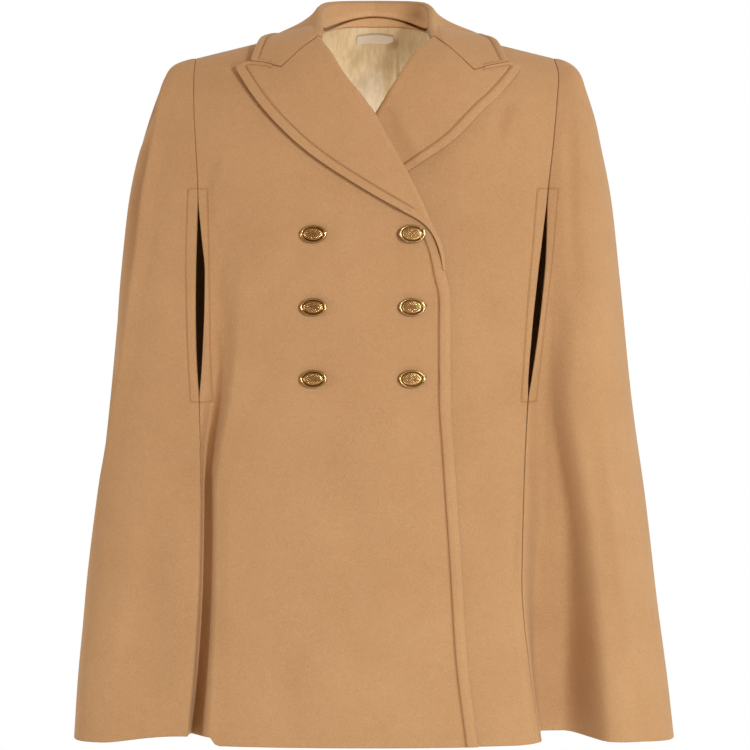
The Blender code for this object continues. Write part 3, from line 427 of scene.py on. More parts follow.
def rounding(drop, height):
    """Round a surface off towards the seam on top of the shoulder."""
    t = np.clip(drop / height, 0, 1)
    return np.sqrt(1 - (1 - t) ** 2)


def front_flat(x, z):
    """Return how far the front would stand in front of the origin without its rounded shoulders."""
    centre = at_height(PROFILE, "centre", z)
    depth, seam = [
        np.where(x < 0, at_height(PROFILE, "right_" + name, z), at_height(PROFILE, "left_" + name, z))
        for name in ("depth", "seam")]
    return centre + (depth - centre) * (np.abs(x) / seam) ** FLATNESS


def front_depth(x, z):
    """Return how far the cape stands in front of the origin, without its folds."""
    return front_flat(x, z) * rounding(shoulder_z(x) - z, SHOULDER_ROUND)


def valley_depth(x, z):
    """Return the depth of the fold in the right front beside its seam."""
    from_seam = x + seam_x("right", z) - SEAM_GAP * VALLEY_START
    centre = at_height(VALLEY, "centre", z)
    depth = at_height(VALLEY, "depth", z)
    inner = np.clip((centre - from_seam) / at_height(VALLEY, "inner", z), 0, 1)
    outer = np.clip((from_seam - centre) / at_height(VALLEY, "outer", z), 0, 1)
    steep = smooth((-z - 400) / 100)
    inner_side = (1 - inner ** 2) ** 2 * (1 - steep) + np.sqrt(1 - inner ** 2) * steep
    straight = np.where(outer < 0.6, 1 - 1.25 * outer, 1.5625 * (1 - outer) ** 2)
    outer_side = (1 - outer ** 2) ** 2 * (1 - steep) + straight * steep
    return depth * np.where(from_seam < centre, inner_side, outer_side)


def left_curl(x, z):
    """Return how far the left front curls back beside its seam, towards the hem."""
    from_seam = seam_x("left", z) - x
    grown = smooth((LEFT_CURL_TOP - z) / (LEFT_CURL_TOP - HEM_Z))
    return LEFT_CURL * grown * (1 - np.clip(from_seam / LEFT_CURL_REACH, 0, 1)) ** 2


def fold_hem_rise(x, z):
    """Return how much higher the hem is in the fold beside the right front seam."""
    from_seam = x + seam_x("right", z)
    beyond = (from_seam - at_height(VALLEY, "outer", z)) / FOLD_HEM_REACH
    return FOLD_HEM_RISE * (1 - smooth(beyond))


def under_push(x, z):
    """Return how far the under front lies behind the surface of the top one."""
    room = at_height(UNDER_ROOM, "room", z)
    return room * (1 - smooth((x - at_height(EDGES, "top", z)) / UNDER_FADE))


def welt_relief(from_edge, z):
    """Return the height of the raised margin along the front edge, with the groove of its stitches."""
    fade = smooth((WELT_TOP_Z - z) / 12)
    margin = smooth((WELT_WIDTH - 0.4 - from_edge) / 1.8)
    groove = bump((from_edge - WELT_WIDTH) / 2.2)
    return fade * (WELT_RAISE * margin - WELT_GROOVE * groove)


def surface_normal(x, z, side):
    """Return the outward direction of a front at a point."""
    step = 0.5
    across = surface_point(x + step, z, side) - surface_point(x - step, z, side)
    up = surface_point(x, z + step, side) - surface_point(x, z - step, side)
    return unit(np.cross(across, up))


def unit(vectors):
    """Scale vectors to length 1."""
    return vectors / np.linalg.norm(vectors, axis=-1, keepdims=True)


def lapel_thickness(side, z):
    """Return a lapel's thickness at its roll and its gap to the front, thin at the right one's tip."""
    full = smooth((z - LAPEL_ROLL_LOW[side]) / LAPEL_TAPER)
    if side == "left":
        full = np.ones_like(z)
    thick = LAPEL_TIP_THICK + (LAPEL_THICK - LAPEL_TIP_THICK) * full
    return thick, LAYER_GAP + LAPEL_EASE * full


def panel_edge(side, z):
    """Return where a front's cloth ends: at its open edge, or inside the roll of its lapel."""
    edge = at_height(EDGES, "top" if side == "right" else "under", z)
    rolled = smooth((z - LAPEL_ROLL_LOW[side]) / 24 + 1)
    thick, gap = lapel_thickness(side, z)
    return edge + SIGN[side] * rolled * (WOOL / 2 + gap + thick - 0.3)


def panel_heights(top_z, ring):
    """Return the heights of a panel's rings below its top edge, with their drop."""
    drop = on_ring("seam_drop", ring)
    return top_z - drop / HEM_DROP * (top_z - HEM_Z), drop


def near_hem(drop):
    """Return 0 above the lowest part of the cape, and up to 1 at the hem."""
    return smooth((drop / HEM_DROP - HEM_FADE) / (1 - HEM_FADE))


def front_panel(side, u, ring):
    """Return a front's points and its raised margin: u runs from its seam to its edge."""
    sign = SIGN[side]
    z, drop = panel_heights(shoulder_z(SHOULDER_X + (NECK_X - SHOULDER_X) * u), ring)
    opening = at_height(SLITS, side + "_front", z)
    seam = sign * (seam_x(side, z) - opening - SEAM_GAP / 2)
    edge = panel_edge(side, z) + sign * COLLAR_ROOM * smooth((z + 25) / 18)
    width = np.abs(edge - seam)
    fold = at_height(VALLEY, "centre", z) if side == "right" else 0 * z + 6
    reach = fold + SEAM_REACH
    in_fold = np.where(u < FOLD_SHARE, fold * u / FOLD_SHARE,
                       fold + (reach - fold) * (u - FOLD_SHARE) / (SEAM_SHARE - FOLD_SHARE))
    near_edge = width - EDGE_REACH * (1 - u) / EDGE_SHARE
    between = reach + (width - EDGE_REACH - reach) * (u - SEAM_SHARE) / (1 - SEAM_SHARE - EDGE_SHARE)
    distance = np.where(u < SEAM_SHARE, in_fold, np.where(u > 1 - EDGE_SHARE, near_edge, between))
    share = u + (distance / width - u) * smooth(drop / TOP_FADE)
    x = seam + (edge - seam) * share
    points = surface_point(x, z, side)
    relief = np.zeros_like(points)
    if side == "right":
        relief[..., 1] = -welt_relief(np.abs(edge - x), z)
        rise = fold_hem_rise(x, z)
    else:
        rise = LEFT_HEM_RISE * (1 - smooth(np.abs(x - seam) / LEFT_HEM_REACH))
    points[..., 1] = np.where(drop < 0.01, -SEAM_GAP / 2, points[..., 1])
    points[..., 2] += (FRONT_HEM_RISE + rise) * near_hem(drop)
    return points, relief


def flute_depth(rows, across, z):
    """Return how deep the flutes of a table are at a place."""
    total = 0 * z
    for top, start, place, half, deep in rows:
        down = (top - z) / (top - HEM_Z)
        total = total + deep * smooth(down) * bump((across - start - (place - start) * down) / half)
    return total


def back_depth(x, z):
    """Return how far the cape stands behind the origin, with its flutes."""
    middle = at_height(PROFILE, "back", z)
    outward = np.clip(np.abs(x) / at_height(PROFILE, "back_seam", z), 0, 1.2) ** FLATNESS
    depth = middle + (at_height(PROFILE, "back_depth", z) - middle) * outward
    return depth - flute_depth(rows_of(BACK_FLUTES), x, z) - crease_depth(rows_of(BACK_CREASES), x, z)


def back_top(size):
    """Return the back's top edge: the neckline up to BACK_NECK across it, then the shoulder seam."""
    turn = (1 - np.clip(size / BACK_NECK, 0, 1)) * math.pi / 2
    along = np.clip((size - BACK_NECK) / (1 - BACK_NECK), 0, 1)
    x = NECK_X * np.cos(turn) + (SHOULDER_X - SEAM_GAP / 2 - NECK_X) * along
    y = SEAM_GAP / 2 + NECK_BACK * np.sin(turn)
    return x, y, shoulder_z(np.maximum(x, NECK_X)) + NECK_BACK_RISE * np.sin(turn) ** 2


def back_behind(size, x, z):
    """Return how far back the back's surface lies."""
    _, top_y, top_z = back_top(size)
    over = rounding(top_z - z, SHOULDER_ROUND)
    nape = 1 - (1 - np.clip((top_z - z) / 120, 0, 1)) ** 1.6
    rise = over + (nape - over) * smooth((BACK_NECK + 0.27 - size) / 0.54)
    return top_y + (back_depth(x, z) - top_y) * rise


def back_panel(u, ring):
    """Return the back's points: u runs from -1 at the right back seam to 1 at the left one."""
    size = np.abs(u)
    top_x, _, top_z = back_top(size)
    z, drop = panel_heights(top_z, ring)
    top_share = top_x / (SHOULDER_X - SEAM_GAP / 2)
    share = top_share + (size - top_share) * smooth(drop / TOP_FADE)
    x = np.where(u < 0, -1, 1) * share * (at_height(PROFILE, "back_seam", z) - SEAM_GAP / 2)
    pulled_in = at_height(PROFILE, "back", z) - back_depth(x, z)
    return np.stack([x, back_behind(size, x, z), z + BACK_HEM_RISE * pulled_in * near_hem(drop)], axis=-1)


def bezier(start, start_handle, end_handle, end, t):
    """Return points of a cubic curve."""
    t = t[..., None]
    points = start * (1 - t) ** 3 + start_handle * 3 * t * (1 - t) ** 2
    return points + end_handle * 3 * t * t * (1 - t) + end * t ** 3


def plan_curve(corners, s):
    """Return a side's plan through its corners and handles: two curves, which meet at the side."""
    start, leave, arrive, middle, depart, come_in, end = corners
    front = bezier(start, start + leave, middle + arrive, middle, np.clip(s, 0, 1))
    rear = bezier(middle, middle + depart, end + come_in, end, np.clip(s - 1, 0, 1))
    return np.where((s <= 1)[..., None], front, rear)


def side_panel(side, s, ring):
    """Return a side's points: s runs from 0 at the front seam over 1 at the side to 2 at the back seam."""
    sign = SIGN[side]
    s, ring = np.broadcast_arrays(np.asarray(s, float), np.asarray(ring, float))
    drop = on_ring("seam_drop", ring)
    seam_z = SHOULDER_Z - drop
    width = on_ring(side + "_width", ring)
    zero = 0 * width
    opening = at_height(SLITS, side + "_side", seam_z)
    seam = seam_x(side, seam_z) + opening + SEAM_GAP / 2
    start = np.stack([seam, surface_point(sign * seam, seam_z, side)[..., 1]], axis=-1)
    middle = np.stack([width, on_ring("side_back", ring)], axis=-1)
    back_x = at_height(PROFILE, "back_seam", seam_z) + SEAM_GAP / 2
    end = np.stack([back_x, back_panel(sign + zero, ring)[..., 1]], axis=-1)
    slope = at_height(PROFILE, side + "_slope", seam_z) * smooth(drop / SHOULDER_FADE)
    leave = unit(np.stack([1 + zero, slope], axis=-1)) * SIDE_FULLNESS * (width - seam)[..., None]
    arrive = np.stack([zero, SIDE_FULLNESS * (start[..., 1] - middle[..., 1])], axis=-1)
    depart = np.stack([zero, REAR_FULLNESS * (end[..., 1] - middle[..., 1])], axis=-1)
    inward = unit(np.stack([1 + zero, -BACK_SLOPE * smooth(drop / SHOULDER_FADE)], axis=-1))
    come_in = inward * BACK_FULLNESS * (width - back_x)[..., None]
    corners = (start, leave, arrive, middle, depart, come_in, end)
    plan = plan_curve(corners, s)
    side_z = SHOULDER_Z - on_ring("side_drop", ring)
    z = seam_z + (side_z - seam_z) * smooth(1 - np.abs(s - 1))
    ahead, behind = [plan_curve(corners, np.clip(s + step, 0, 2)) for step in (0.01, -0.01)]
    tangent = unit(ahead - behind)
    outward = np.stack([tangent[..., 1], -tangent[..., 0]], axis=-1)
    moved = side_folds(side, s, plan, width, seam, z)
    plan = plan + outward * moved[..., None]
    at_seam = FOLD_HEM_RISE if side == "right" else LEFT_HEM_RISE
    lift = FRONT_HEM_RISE * smooth(1 - s) - RECESS_HEM_RISE * np.minimum(moved, 0)
    lift = lift + at_seam * smooth(1 - 2.2 * s)
    return np.stack([sign * plan[..., 0], plan[..., 1], z + lift * near_hem(drop)], axis=-1)


def side_folds(side, s, plan, width, seam, z):
    """Return how far the folds move a side panel outwards."""
    if side == "left":
        from_seam = plan[..., 0] - seam
        near, far, rise = [at_height(RECESS, name, z) for name in ("near", "far", "rise")]
        floor = smooth(from_seam / near) * (1 - smooth((from_seam - far) / (rise - far)))
        swell = bump((from_seam - rise - 12) / 26)
        fold = at_height(RECESS, "swell", z) * swell - at_height(RECESS, "depth", z) * floor
    else:
        from_crest = width - plan[..., 0] - at_height(RIDGE, "inset", z)
        crest = 0.7 * bump(from_crest / 13) + 0.5 * bump(from_crest / 5)
        hollow = 1.4 * at_height(RIDGE, "hollow", z) * bump((from_crest + 11) / 10)
        fold = at_height(RIDGE, "height", z) * crest - hollow
    flutes = flute_depth(rows_of(SIDE_FLUTES, SIGN[side]), s, z)
    return np.where(s < 1, fold, 0) - flutes - crease_depth(rows_of(SIDE_CREASES, SIGN[side]), s * 150, z)


def ways_along(points, axis):
    """Return the way along a grid's rows (axis 1) or its columns (axis 0) at each point."""
    steps = np.moveaxis(np.diff(points, axis=axis), axis, 0)
    ways = unit(steps)
    return np.moveaxis(np.concatenate([steps[:1], ways[1:] + ways[:-1], steps[-1:]]), 0, axis)


def grid_normals(points):
    """Return the normals of a grid of points."""
    return unit(np.cross(ways_along(points, 1), ways_along(points, 0)))


def roll_frame(side, z):
    """Return a lapel roll's centre, the way out of the fold and the way off the panel at each height."""
    here, above, below = [
        surface_point(panel_edge(side, z + step), z + step, side) for step in (0.0, 1.0, -1.0)]
    normal = surface_normal(panel_edge(side, z), z, side)
    out = SIGN[side] * unit(np.cross(normal, unit(above - below)))
    return here - normal * WOOL / 2, out, normal


def table_curve(columns, at, names=("x", "z"), read=interpolate):
    """Return points along the rows of a table that is keyed by its share column."""
    return np.stack([read(columns["share"], columns[name], at) for name in names], axis=-1)


def front_neck_height(place):
    """Return the height of the front neckline, from the neck point down to the gorge."""
    turn = np.clip((place - BACK_NECK) / (1 - BACK_NECK), 0, 1)
    return shoulder_z(NECK_X) - SHOULDER_ROUND * (1 - np.cos(FRONT_NECK_ANGLE * turn))


def neck_seam(place, sign):
    """Return the line that the collar stands on, and the way out from the neck along it."""
    front_z = front_neck_height(place)
    front_x = np.abs(panel_edge("right" if sign < 0 else "left", front_z))
    front = (front_x, -front_depth(front_x, front_z), front_z)
    back = back_top(np.clip(place, 0, BACK_NECK))
    x, y, z = [np.where(place <= BACK_NECK, one, other) for one, other in zip(back, front)]
    way = np.stack([sign * np.abs(x) / NECK_X, np.maximum(y, 0) / NECK_BACK, 0 * x], axis=-1)
    return np.stack([sign * x, y, z], axis=-1), unit(way)


def lift_over_body(points, clearance):
    """Move points out to clear the shoulders and the back where they are too close to them."""
    x, y, z = np.moveaxis(points, -1, 0)
    reach = np.maximum(np.abs(x), NECK_X)
    centre = shoulder_z(reach) - SHOULDER_ROUND
    depth = np.where(y < 0, front_flat(x, z), back_depth(x, z))
    away = np.hypot(y / depth, (z - centre) / SHOULDER_ROUND)
    wanted = 1 + clearance / SHOULDER_ROUND
    push = np.where((z > centre) & ((np.abs(x) > NECK_X) | (y < 0)), np.maximum(wanted / away, 1), 1)
    y = y * push
    z = centre + (z - centre) * push
    size = BACK_NECK * (1 - np.arccos(np.clip(np.abs(x) / NECK_X, 0, 1)) / (math.pi / 2))
    behind = (y > 0) & (np.abs(x) < NECK_X) & (z < back_top(size)[2] - 0.5)
    y = np.where(behind, np.maximum(y, back_behind(size, x, z) + clearance), y)
    return np.stack([x, y, z], axis=-1)


# Creases in the cloth: where each starts and ends, how far it bows, its half width and its depth (a
# ridge where the depth is below 0). x is across the fronts and the back, and on a side it is the way
# round from its front seam.
FRONT_CREASES = table(
    "x1 z1 x2 z2 bow half depth",
    (-78, -212, -160, -300, -26, 20, 2.2),
    (-66, -196, -140, -232, -16, 18, -1.6),
    (-172, -110, -182, -225, 6, 15, 2.6),
    (-172, -400, -178, -830, 0, 22, 4.0),
    (-158, -190, -176, -330, 6, 22, 2.6),
    (-90, -640, -98, -800, 8, 34, 3.6),
    (-40, -640, -60, -800, 6, 30, -2.2),
    (150, -60, 132, -135, 4, 17, 1.8),
    (158, -440, 150, -640, 3, 9, 1.0),
    (110, -250, 158, -420, 10, 26, 1.3),
    (-20, -330, -150, -420, 18, 24, 1.2),
    (-10, -430, -20, -700, 14, 40, 1.6),
)
BACK_CREASES = table(
    "x1 z1 x2 z2 bow half depth",
    (-150, -60, -176, -230, 8, 18, 2.6),
    (148, -66, 174, -240, -8, 18, 2.4),
    (-60, -90, -20, -210, 10, 30, 2.0),
    (70, -110, 30, -260, -12, 30, 2.2),
    (-150, -420, -170, -700, 12, 26, 3.0),
    (40, -380, 52, -720, -10, 24, 2.6),
)
SIDE_CREASES = table(
    "side x1 z1 x2 z2 bow half depth",
    (-1, 34, -500, 36, -800, 0, 27, 5.0),
    (-1, 30, -190, 36, -330, 6, 22, -1.6),
    (-1, 190, -80, 216, -330, -10, 22, 3.2),
    (1, 26, -60, 34, -330, 4, 14, 2.4),
    (1, 44, -380, 56, -800, 0, 16, 4.5),
    (1, 190, -90, 214, -340, -10, 22, 3.0),
)

# The rows of stitches beside the arm slits: how far from each seam they run, and their ends.
SLIT_STITCHES = table(
    "z right_front right_side left_front left_side",
    (-171.6, 10.5, 11.2, 12.0, 10.8),
    (-250, 12.0, 13.6, 12.5, 10.2),
    (-404.6, 14.5, 9.8, 7.4, 10.0),
)
SLIT_STITCH_TOP = -171.6
SLIT_STITCH_LOW = -404.6
BAR_STATIONS = 12
LAPEL_STITCH = 12.0
LAPEL_STITCH_LOW = {"right": -197.0, "left": -170.0}
COLLAR_STITCH = 9.0
GORGE_STITCH = 5.0
GORGE_STITCH_FROM = 0.56
STITCH_PITCH = 3.1
STITCH_LENGTH = 2.3
STITCH_RADIUS = 0.3
# The distance from its stitches of a point that has none near it.
NO_STITCH = -99.0

# How far the cloth's edges and corners are rounded, how the front edge bends back, how the cloth swells
# beside its stitches, and what keeps an edge that isn't a rim from getting the painted shade along the
# rims.
OPEN_EDGE = 1.28
WELT_EDGE = 0.5
WELT_BEND = 0.3
WELT_FALL = 1.9
WELT_FALL_WIDTH = 7.5
FOLDED_EDGE = 1.9
LAPEL_CORNER = 7.0
COLLAR_CORNER = 4.0
SEAM_EDGE = 1.2
PUFF = 1.7
SLIT_PUFF = 0.35
EDGE_SHADE_SKIP = 99.0
STITCH_DENT = 0.35
# The share of a crease's length over which its ends fade, and how uneven it is; the slow waves.
CREASE_END = 0.35
CREASE_UNEVEN = 0.25
SLOW_WAVES = 0.35


def crease_depth(rows, across, z):
    """Return how deep the creases of a table are at a place."""
    total = 0 * z
    for x1, z1, x2, z2, bow, half, depth in rows:
        length = math.hypot(x2 - x1, z2 - z1)
        along_x = (x2 - x1) / length
        along_z = (z2 - z1) / length
        t = ((across - x1) * along_x + (z - z1) * along_z) / length
        off = (across - x1) * along_z - (z - z1) * along_x - bow * 4 * t * (1 - t)
        uneven = 1 + CREASE_UNEVEN * np.sin(5.1 * t + 0.7 * depth)
        ends = smooth(t / CREASE_END) * smooth((1 - t) / CREASE_END)
        total = total + depth * bump(off / (half * uneven)) * ends
    return total


def front_creases(x, z):
    """Return how deep the fronts' creases are, with the cloth's slow unevenness."""
    slow = np.sin(x * 0.031 + z * 0.017) * np.sin(z * 0.023 - x * 0.011 + 1.3)
    return crease_depth(rows_of(FRONT_CREASES), x, z) + SLOW_WAVES * slow


def surface_point(x, z, side):
    """Return a point of the top (right) or under (left) front."""
    depth = front_depth(x, z) - front_creases(x, z) * smooth((shoulder_z(x) - z) / SHOULDER_FADE)
    if side == "right":
        depth = depth - valley_depth(x, z)
    else:
        depth = depth - under_push(x, z) - left_curl(x, z)
    return np.stack([x, -depth, z], axis=-1)


def patch(at, share, left, right, low, high):
    """Return points of a patch with ribs from left to right that take the ends' shapes near them."""
    u = share[..., None]
    v = at[..., None]
    zero = np.zeros(1)
    ribs = left(at) * (1 - u) + right(at) * u
    low_bend = low(share) - low(zero)[0] * (1 - u) - low(zero + 1)[0] * u
    high_bend = high(share) - high(zero)[0] * (1 - u) - high(zero + 1)[0] * u
    return ribs + low_bend * (1 - v) ** 3 + high_bend * v ** 3


ROLL_ANGLES = np.array((-90, -90, -90, -72, -54, -36, -18, 0, 15, 30, 45), float)
ROLL_LEG = np.array((1, 0.5, 0, 0, 0, 0, 0, 0, 0, 0, 0), float)
ROLL_STATIONS = np.array((0, 0.5, 1, 1.4, 1.8, 2.2, 2.6, 3, 3.33, 3.67, 4), float)
# The station at which the part that lies over begins, how many more there are, and the share of the
# lapel's gorge that the collar is sewn to.
FLAT_STATION = 5
FLAT_STATIONS = 11
GORGE_SHARE = 9 / 11


def lapel_grid(side, at, share):
    """Return a lapel's middle layer and its thickness: the roll first, then the part that lies over."""
    low = LAPEL_ROLL_LOW[side]
    roll_z = low + (LAPEL_ROLL_TOP - low) * at
    start, top_start = [np.array([panel_edge(side, np.array(z)), z], float) for z in (low, LAPEL_ROLL_TOP)]
    edge_table = LAPEL_EDGE_RIGHT if side == "right" else LAPEL_EDGE_LEFT
    gorge_names = (side + "_x", side + "_z")
    zero = np.zeros(1)

    def left(v):
        z = low + (LAPEL_ROLL_TOP - low) * v
        return np.stack([panel_edge(side, z), z], axis=-1)

    def right(v):
        return table_curve(edge_table, v)

    def drawn(curve, corner, u):
        near = 1 - np.clip(u / LAPEL_CORNER_REACH, 0, 1)[..., None]
        return curve(u) + near * (corner - curve(zero)[0])

    def bottom(u):
        if side == "right":
            return start + (right(zero)[0] - start) * u[..., None]
        return drawn(lambda at_u: table_curve(LAPEL_END_LEFT, at_u), start, u)

    def top(u):
        return drawn(lambda at_u: table_curve(GORGE, at_u, gorge_names, polyline), top_start, u)

    v, u = np.meshgrid(at, share, indexing="ij")
    flat = patch(v, u, left, right, bottom, top)
    centre, out, normal = roll_frame(side, roll_z)
    thick, gap = lapel_thickness(side, roll_z)
    margin = welt_relief(0 * roll_z, roll_z) if side == "right" else 0 * roll_z
    leg = 0.6 + LAPEL_LEG * (1 - smooth((at - 0.7) / 0.25))
    sink = 1 - smooth(at / 0.11) if side == "right" else 0 * at
    points = []
    thickness = []
    for angle, on_leg in zip(ROLL_ANGLES, ROLL_LEG):
        turn = math.radians(angle)
        part = np.interp(angle, (-90, -45, 0, 45), (0.5, 0.65, 0.9, 1.0))
        around = np.maximum(thick * part, LAPEL_TIP_THICK)
        inner = WOOL / 2 + LAYER_GAP + (gap - LAYER_GAP) * (0.45 + 0.55 * (angle + 90) / 135)
        over = (inner + around / 2)[:, None] + margin[:, None] * max(math.sin(turn), 0)
        over = over + (WOOL / 2 - 0.9 - over) * sink[:, None]
        place = centre + (out * math.cos(turn) + normal * math.sin(turn)) * over
        points.append(place - out * leg[:, None] * on_leg)
        thickness.append(around)
    x, z = flat[..., 0], flat[..., 1]
    visible = smooth((x - at_height(EDGES, "top", z) - 4) / 25) if side == "left" else 1.0
    from_roll = np.linalg.norm(flat - flat[:, :1], axis=-1)
    raised = margin[:, None] + LAPEL_LIFT * visible * smooth(from_roll / 26)
    pressed = smooth(1 - (from_roll[:, -1:] - from_roll) / LAPEL_PRESS_WIDTH) * smooth(from_roll / 40)
    raised = raised - LAPEL_PRESS * visible * pressed * smooth((v - 0.16) / 0.2)
    over_thick = thick[:, None] + (LAPEL_THICK - thick[:, None]) * smooth(share / 0.8)
    height = gap[:, None] + raised + over_thick / 2
    height = height + (margin[:, None] - 1.0 - height) * sink[:, None]
    over = surface_point(x, z, side) + surface_normal(x, z, side) * height[..., None]
    points = np.concatenate([np.stack(points, axis=1), over], axis=1)
    return points, np.concatenate([np.stack(thickness, axis=1), over_thick], axis=1)


def join_collar(side, start, end, place, shares, stations):
    """Carry the collar's roll round the front's edge, from its own last row to its lapel's first."""
    frames = []
    for at in (place, 1.0, *(place + (1 - place) * shares)):
        frames.append([value[0] for value in roll_frame(side, front_neck_height(np.array([at])))])
    around = []
    for row, (centre, out, normal) in zip((start, end), frames):
        away = row - centre
        across = away @ out
        above = away @ normal
        around.append((np.hypot(across, above), np.arctan2(above, across), away @ np.cross(out, normal)))
    straight = start + (end - start) * shares[:, None, None]
    first_flat = len(ROLL_ANGLES)
    rows = []
    for share, line, (centre, out, normal) in zip(shares, straight, frames[2:]):
        radius, angle, along = [a + (b - a) * share for a, b in zip(*around)]
        ring = centre + (np.cos(angle) * radius)[:, None] * out + (np.sin(angle) * radius)[:, None] * normal
        ring = ring + along[:, None] * np.cross(out, normal)
        bow = (ring[first_flat] - line[first_flat]) * np.clip(1.9 - stations / 6, 0, 1)[:, None]
        rows.append(np.where((stations <= FLAT_STATION)[:, None], ring, line + bow))
    return np.stack(rows)


def collar_rows(side, shares, places):
    """Return the collar's middle layer from the centre back to where one gorge begins."""
    sign = SIGN[side]
    read = {name: interpolate(COLLAR["neck"], COLLAR[name], places) for name in COLLAR}
    shift = COLLAR_SHIFT * smooth(read["edge_x"] / 60)
    centre = np.stack([sign * read["x"], read["y"], read["z"]], axis=-1)
    edge = np.stack([sign * read["edge_x"] + shift, read["edge_y"], read["edge_z"]], axis=-1)
    path = np.gradient(centre, places, axis=0)
    path[0] = (sign, 0, 0)
    path = unit(path)
    up = np.array((0.0, 0.0, 1.0))
    lean = np.radians(read["lean"])[:, None]
    out = unit(unit(np.cross(path, up)) * sign * np.cos(lean) + up * np.sin(lean))
    out = unit(out - path * np.sum(out * path, axis=-1, keepdims=True))
    normal = unit(np.cross(out, path)) * sign
    seam, way = neck_seam(places, sign)
    foot = seam - way * (WOOL + 0.2) + up * (SEAM_GAP + 0.7)
    rows = []
    for angle, on_leg in zip(ROLL_ANGLES, ROLL_LEG):
        turn = math.radians(angle)
        ring = centre + (out * math.cos(turn) + normal * math.sin(turn)) * COLLAR_ROLL
        rows.append(ring + (foot - ring) * on_leg)
    start = centre + normal * COLLAR_ROLL
    reach = np.linalg.norm(edge - start, axis=-1, keepdims=True)
    down = start - out * reach * read["hold"][:, None]
    arrive = edge - unit(unit((edge - start) * (1, 1, 0)) - up * 0.6) * reach * 0.34
    rows += [bezier(start, down, arrive, edge, np.full(len(places), share)) for share in shares]
    return np.stack(rows, axis=1)


def arc_lengths(points, axis, backwards=False):
    """Return each point's way along its row (axis 1) or column (axis 0) from the grid's first edge."""
    lengths = np.cumsum(np.linalg.norm(np.diff(points, axis=axis), axis=-1), axis=axis)
    lengths = np.concatenate([0 * np.take(lengths, [0], axis=axis), lengths], axis=axis)
    return np.take(lengths, [-1], axis=axis) - lengths if backwards else lengths


def edge_distances(points):
    """Return the distances to a grid's first column, last column, first row and last row."""
    return [arc_lengths(points, axis, backwards) for axis in (1, 0) for backwards in (False, True)]


def rounded(points, radii):
    """Return how far all four edges of a grid fall away, each with its own radius."""
    fall = np.zeros(points.shape[:2])
    for distance, radius in zip(edge_distances(points), radii):
        if radius > 0:
            t = 1 - np.clip(distance / radius, 0, 1)
            fall = np.maximum(fall, radius * (1 - np.sqrt(1 - t * t)))
    return fall


def grid_faces(rows, columns):
    """Return the faces of a closed wall between two grids, the outer ones first."""
    count = rows * columns
    index = np.arange(count).reshape(rows, columns)
    corners = (index[:-1, :-1], index[:-1, 1:], index[1:, 1:], index[1:, :-1])
    outer = np.stack([corner.ravel() for corner in corners], axis=-1)
    ring = np.concatenate([index[0, :], index[1:, -1], index[-1, -2::-1], index[-2:0:-1, 0]])
    after = np.roll(ring, -1)
    return outer, outer[:, ::-1] + count, np.stack([after, ring, ring + count, after + count], axis=-1)


def make_object(name, points, faces, materials, slots=None):
    """Make a smooth piece from points in millimetres, its faces and their material numbers."""
    mesh = bpy.data.meshes.new(name)
    mesh.from_pydata((points * MM).tolist(), [], faces)
    if slots is not None:
        mesh.polygons.foreach_set("material_index", slots)
    mesh.shade_smooth()
    for material in materials:
        mesh.materials.append(material)
    mesh.update()
    piece = bpy.data.objects.new(name, mesh)
    bpy.context.scene.collection.objects.link(piece)
    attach(piece, "root")
    return piece


def add_values(piece, name, values):
    """Give each point of a piece a number that its material reads."""
    layer = piece.data.attributes.new(name, "FLOAT", "POINT")
    layer.data.foreach_set("value", values.astype(np.float32).ravel())


def make_shell(node, outer, inner, materials, margin, plain=()):
    """Make cloth as a closed thin wall for its CAD node; its plain edges get no painted shade along their
    rims.
    """
    outward, inward, rim = grid_faces(*outer.shape[:2])
    points = np.concatenate([outer.reshape(-1, 3), inner.reshape(-1, 3)])
    faces = np.concatenate([outward, inward, rim])
    a, b, c, d = [points[faces[:, corner]] for corner in range(4)]
    if np.einsum("ij,ij->i", a, np.cross(b, c) + np.cross(c, d)).sum() < 0:
        faces = faces[:, ::-1]
    slots = np.zeros(len(faces), int)
    if len(materials) > 1:
        slots[len(outward):len(outward) + len(inward)] = 1
    piece = make_object("cloth_" + node, points, faces.tolist(), materials, slots)
    # The distance to the nearest edge, which the wool material reads to paint shade along the rims.
    to_edges = np.minimum.reduce([
        distance + EDGE_SHADE_SKIP * (edge in plain) for edge, distance in enumerate(edge_distances(outer))])
    add_values(piece, "margin", np.concatenate([margin, NO_STITCH + 0 * margin]))
    add_values(piece, "rim", np.concatenate([to_edges, to_edges]))
    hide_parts(node)
    return piece


def along_line(values, lengths, at):
    """Return values of a line's points at some lengths along it."""
    return np.stack([np.interp(at, lengths, values[:, axis]) for axis in range(3)], axis=-1)


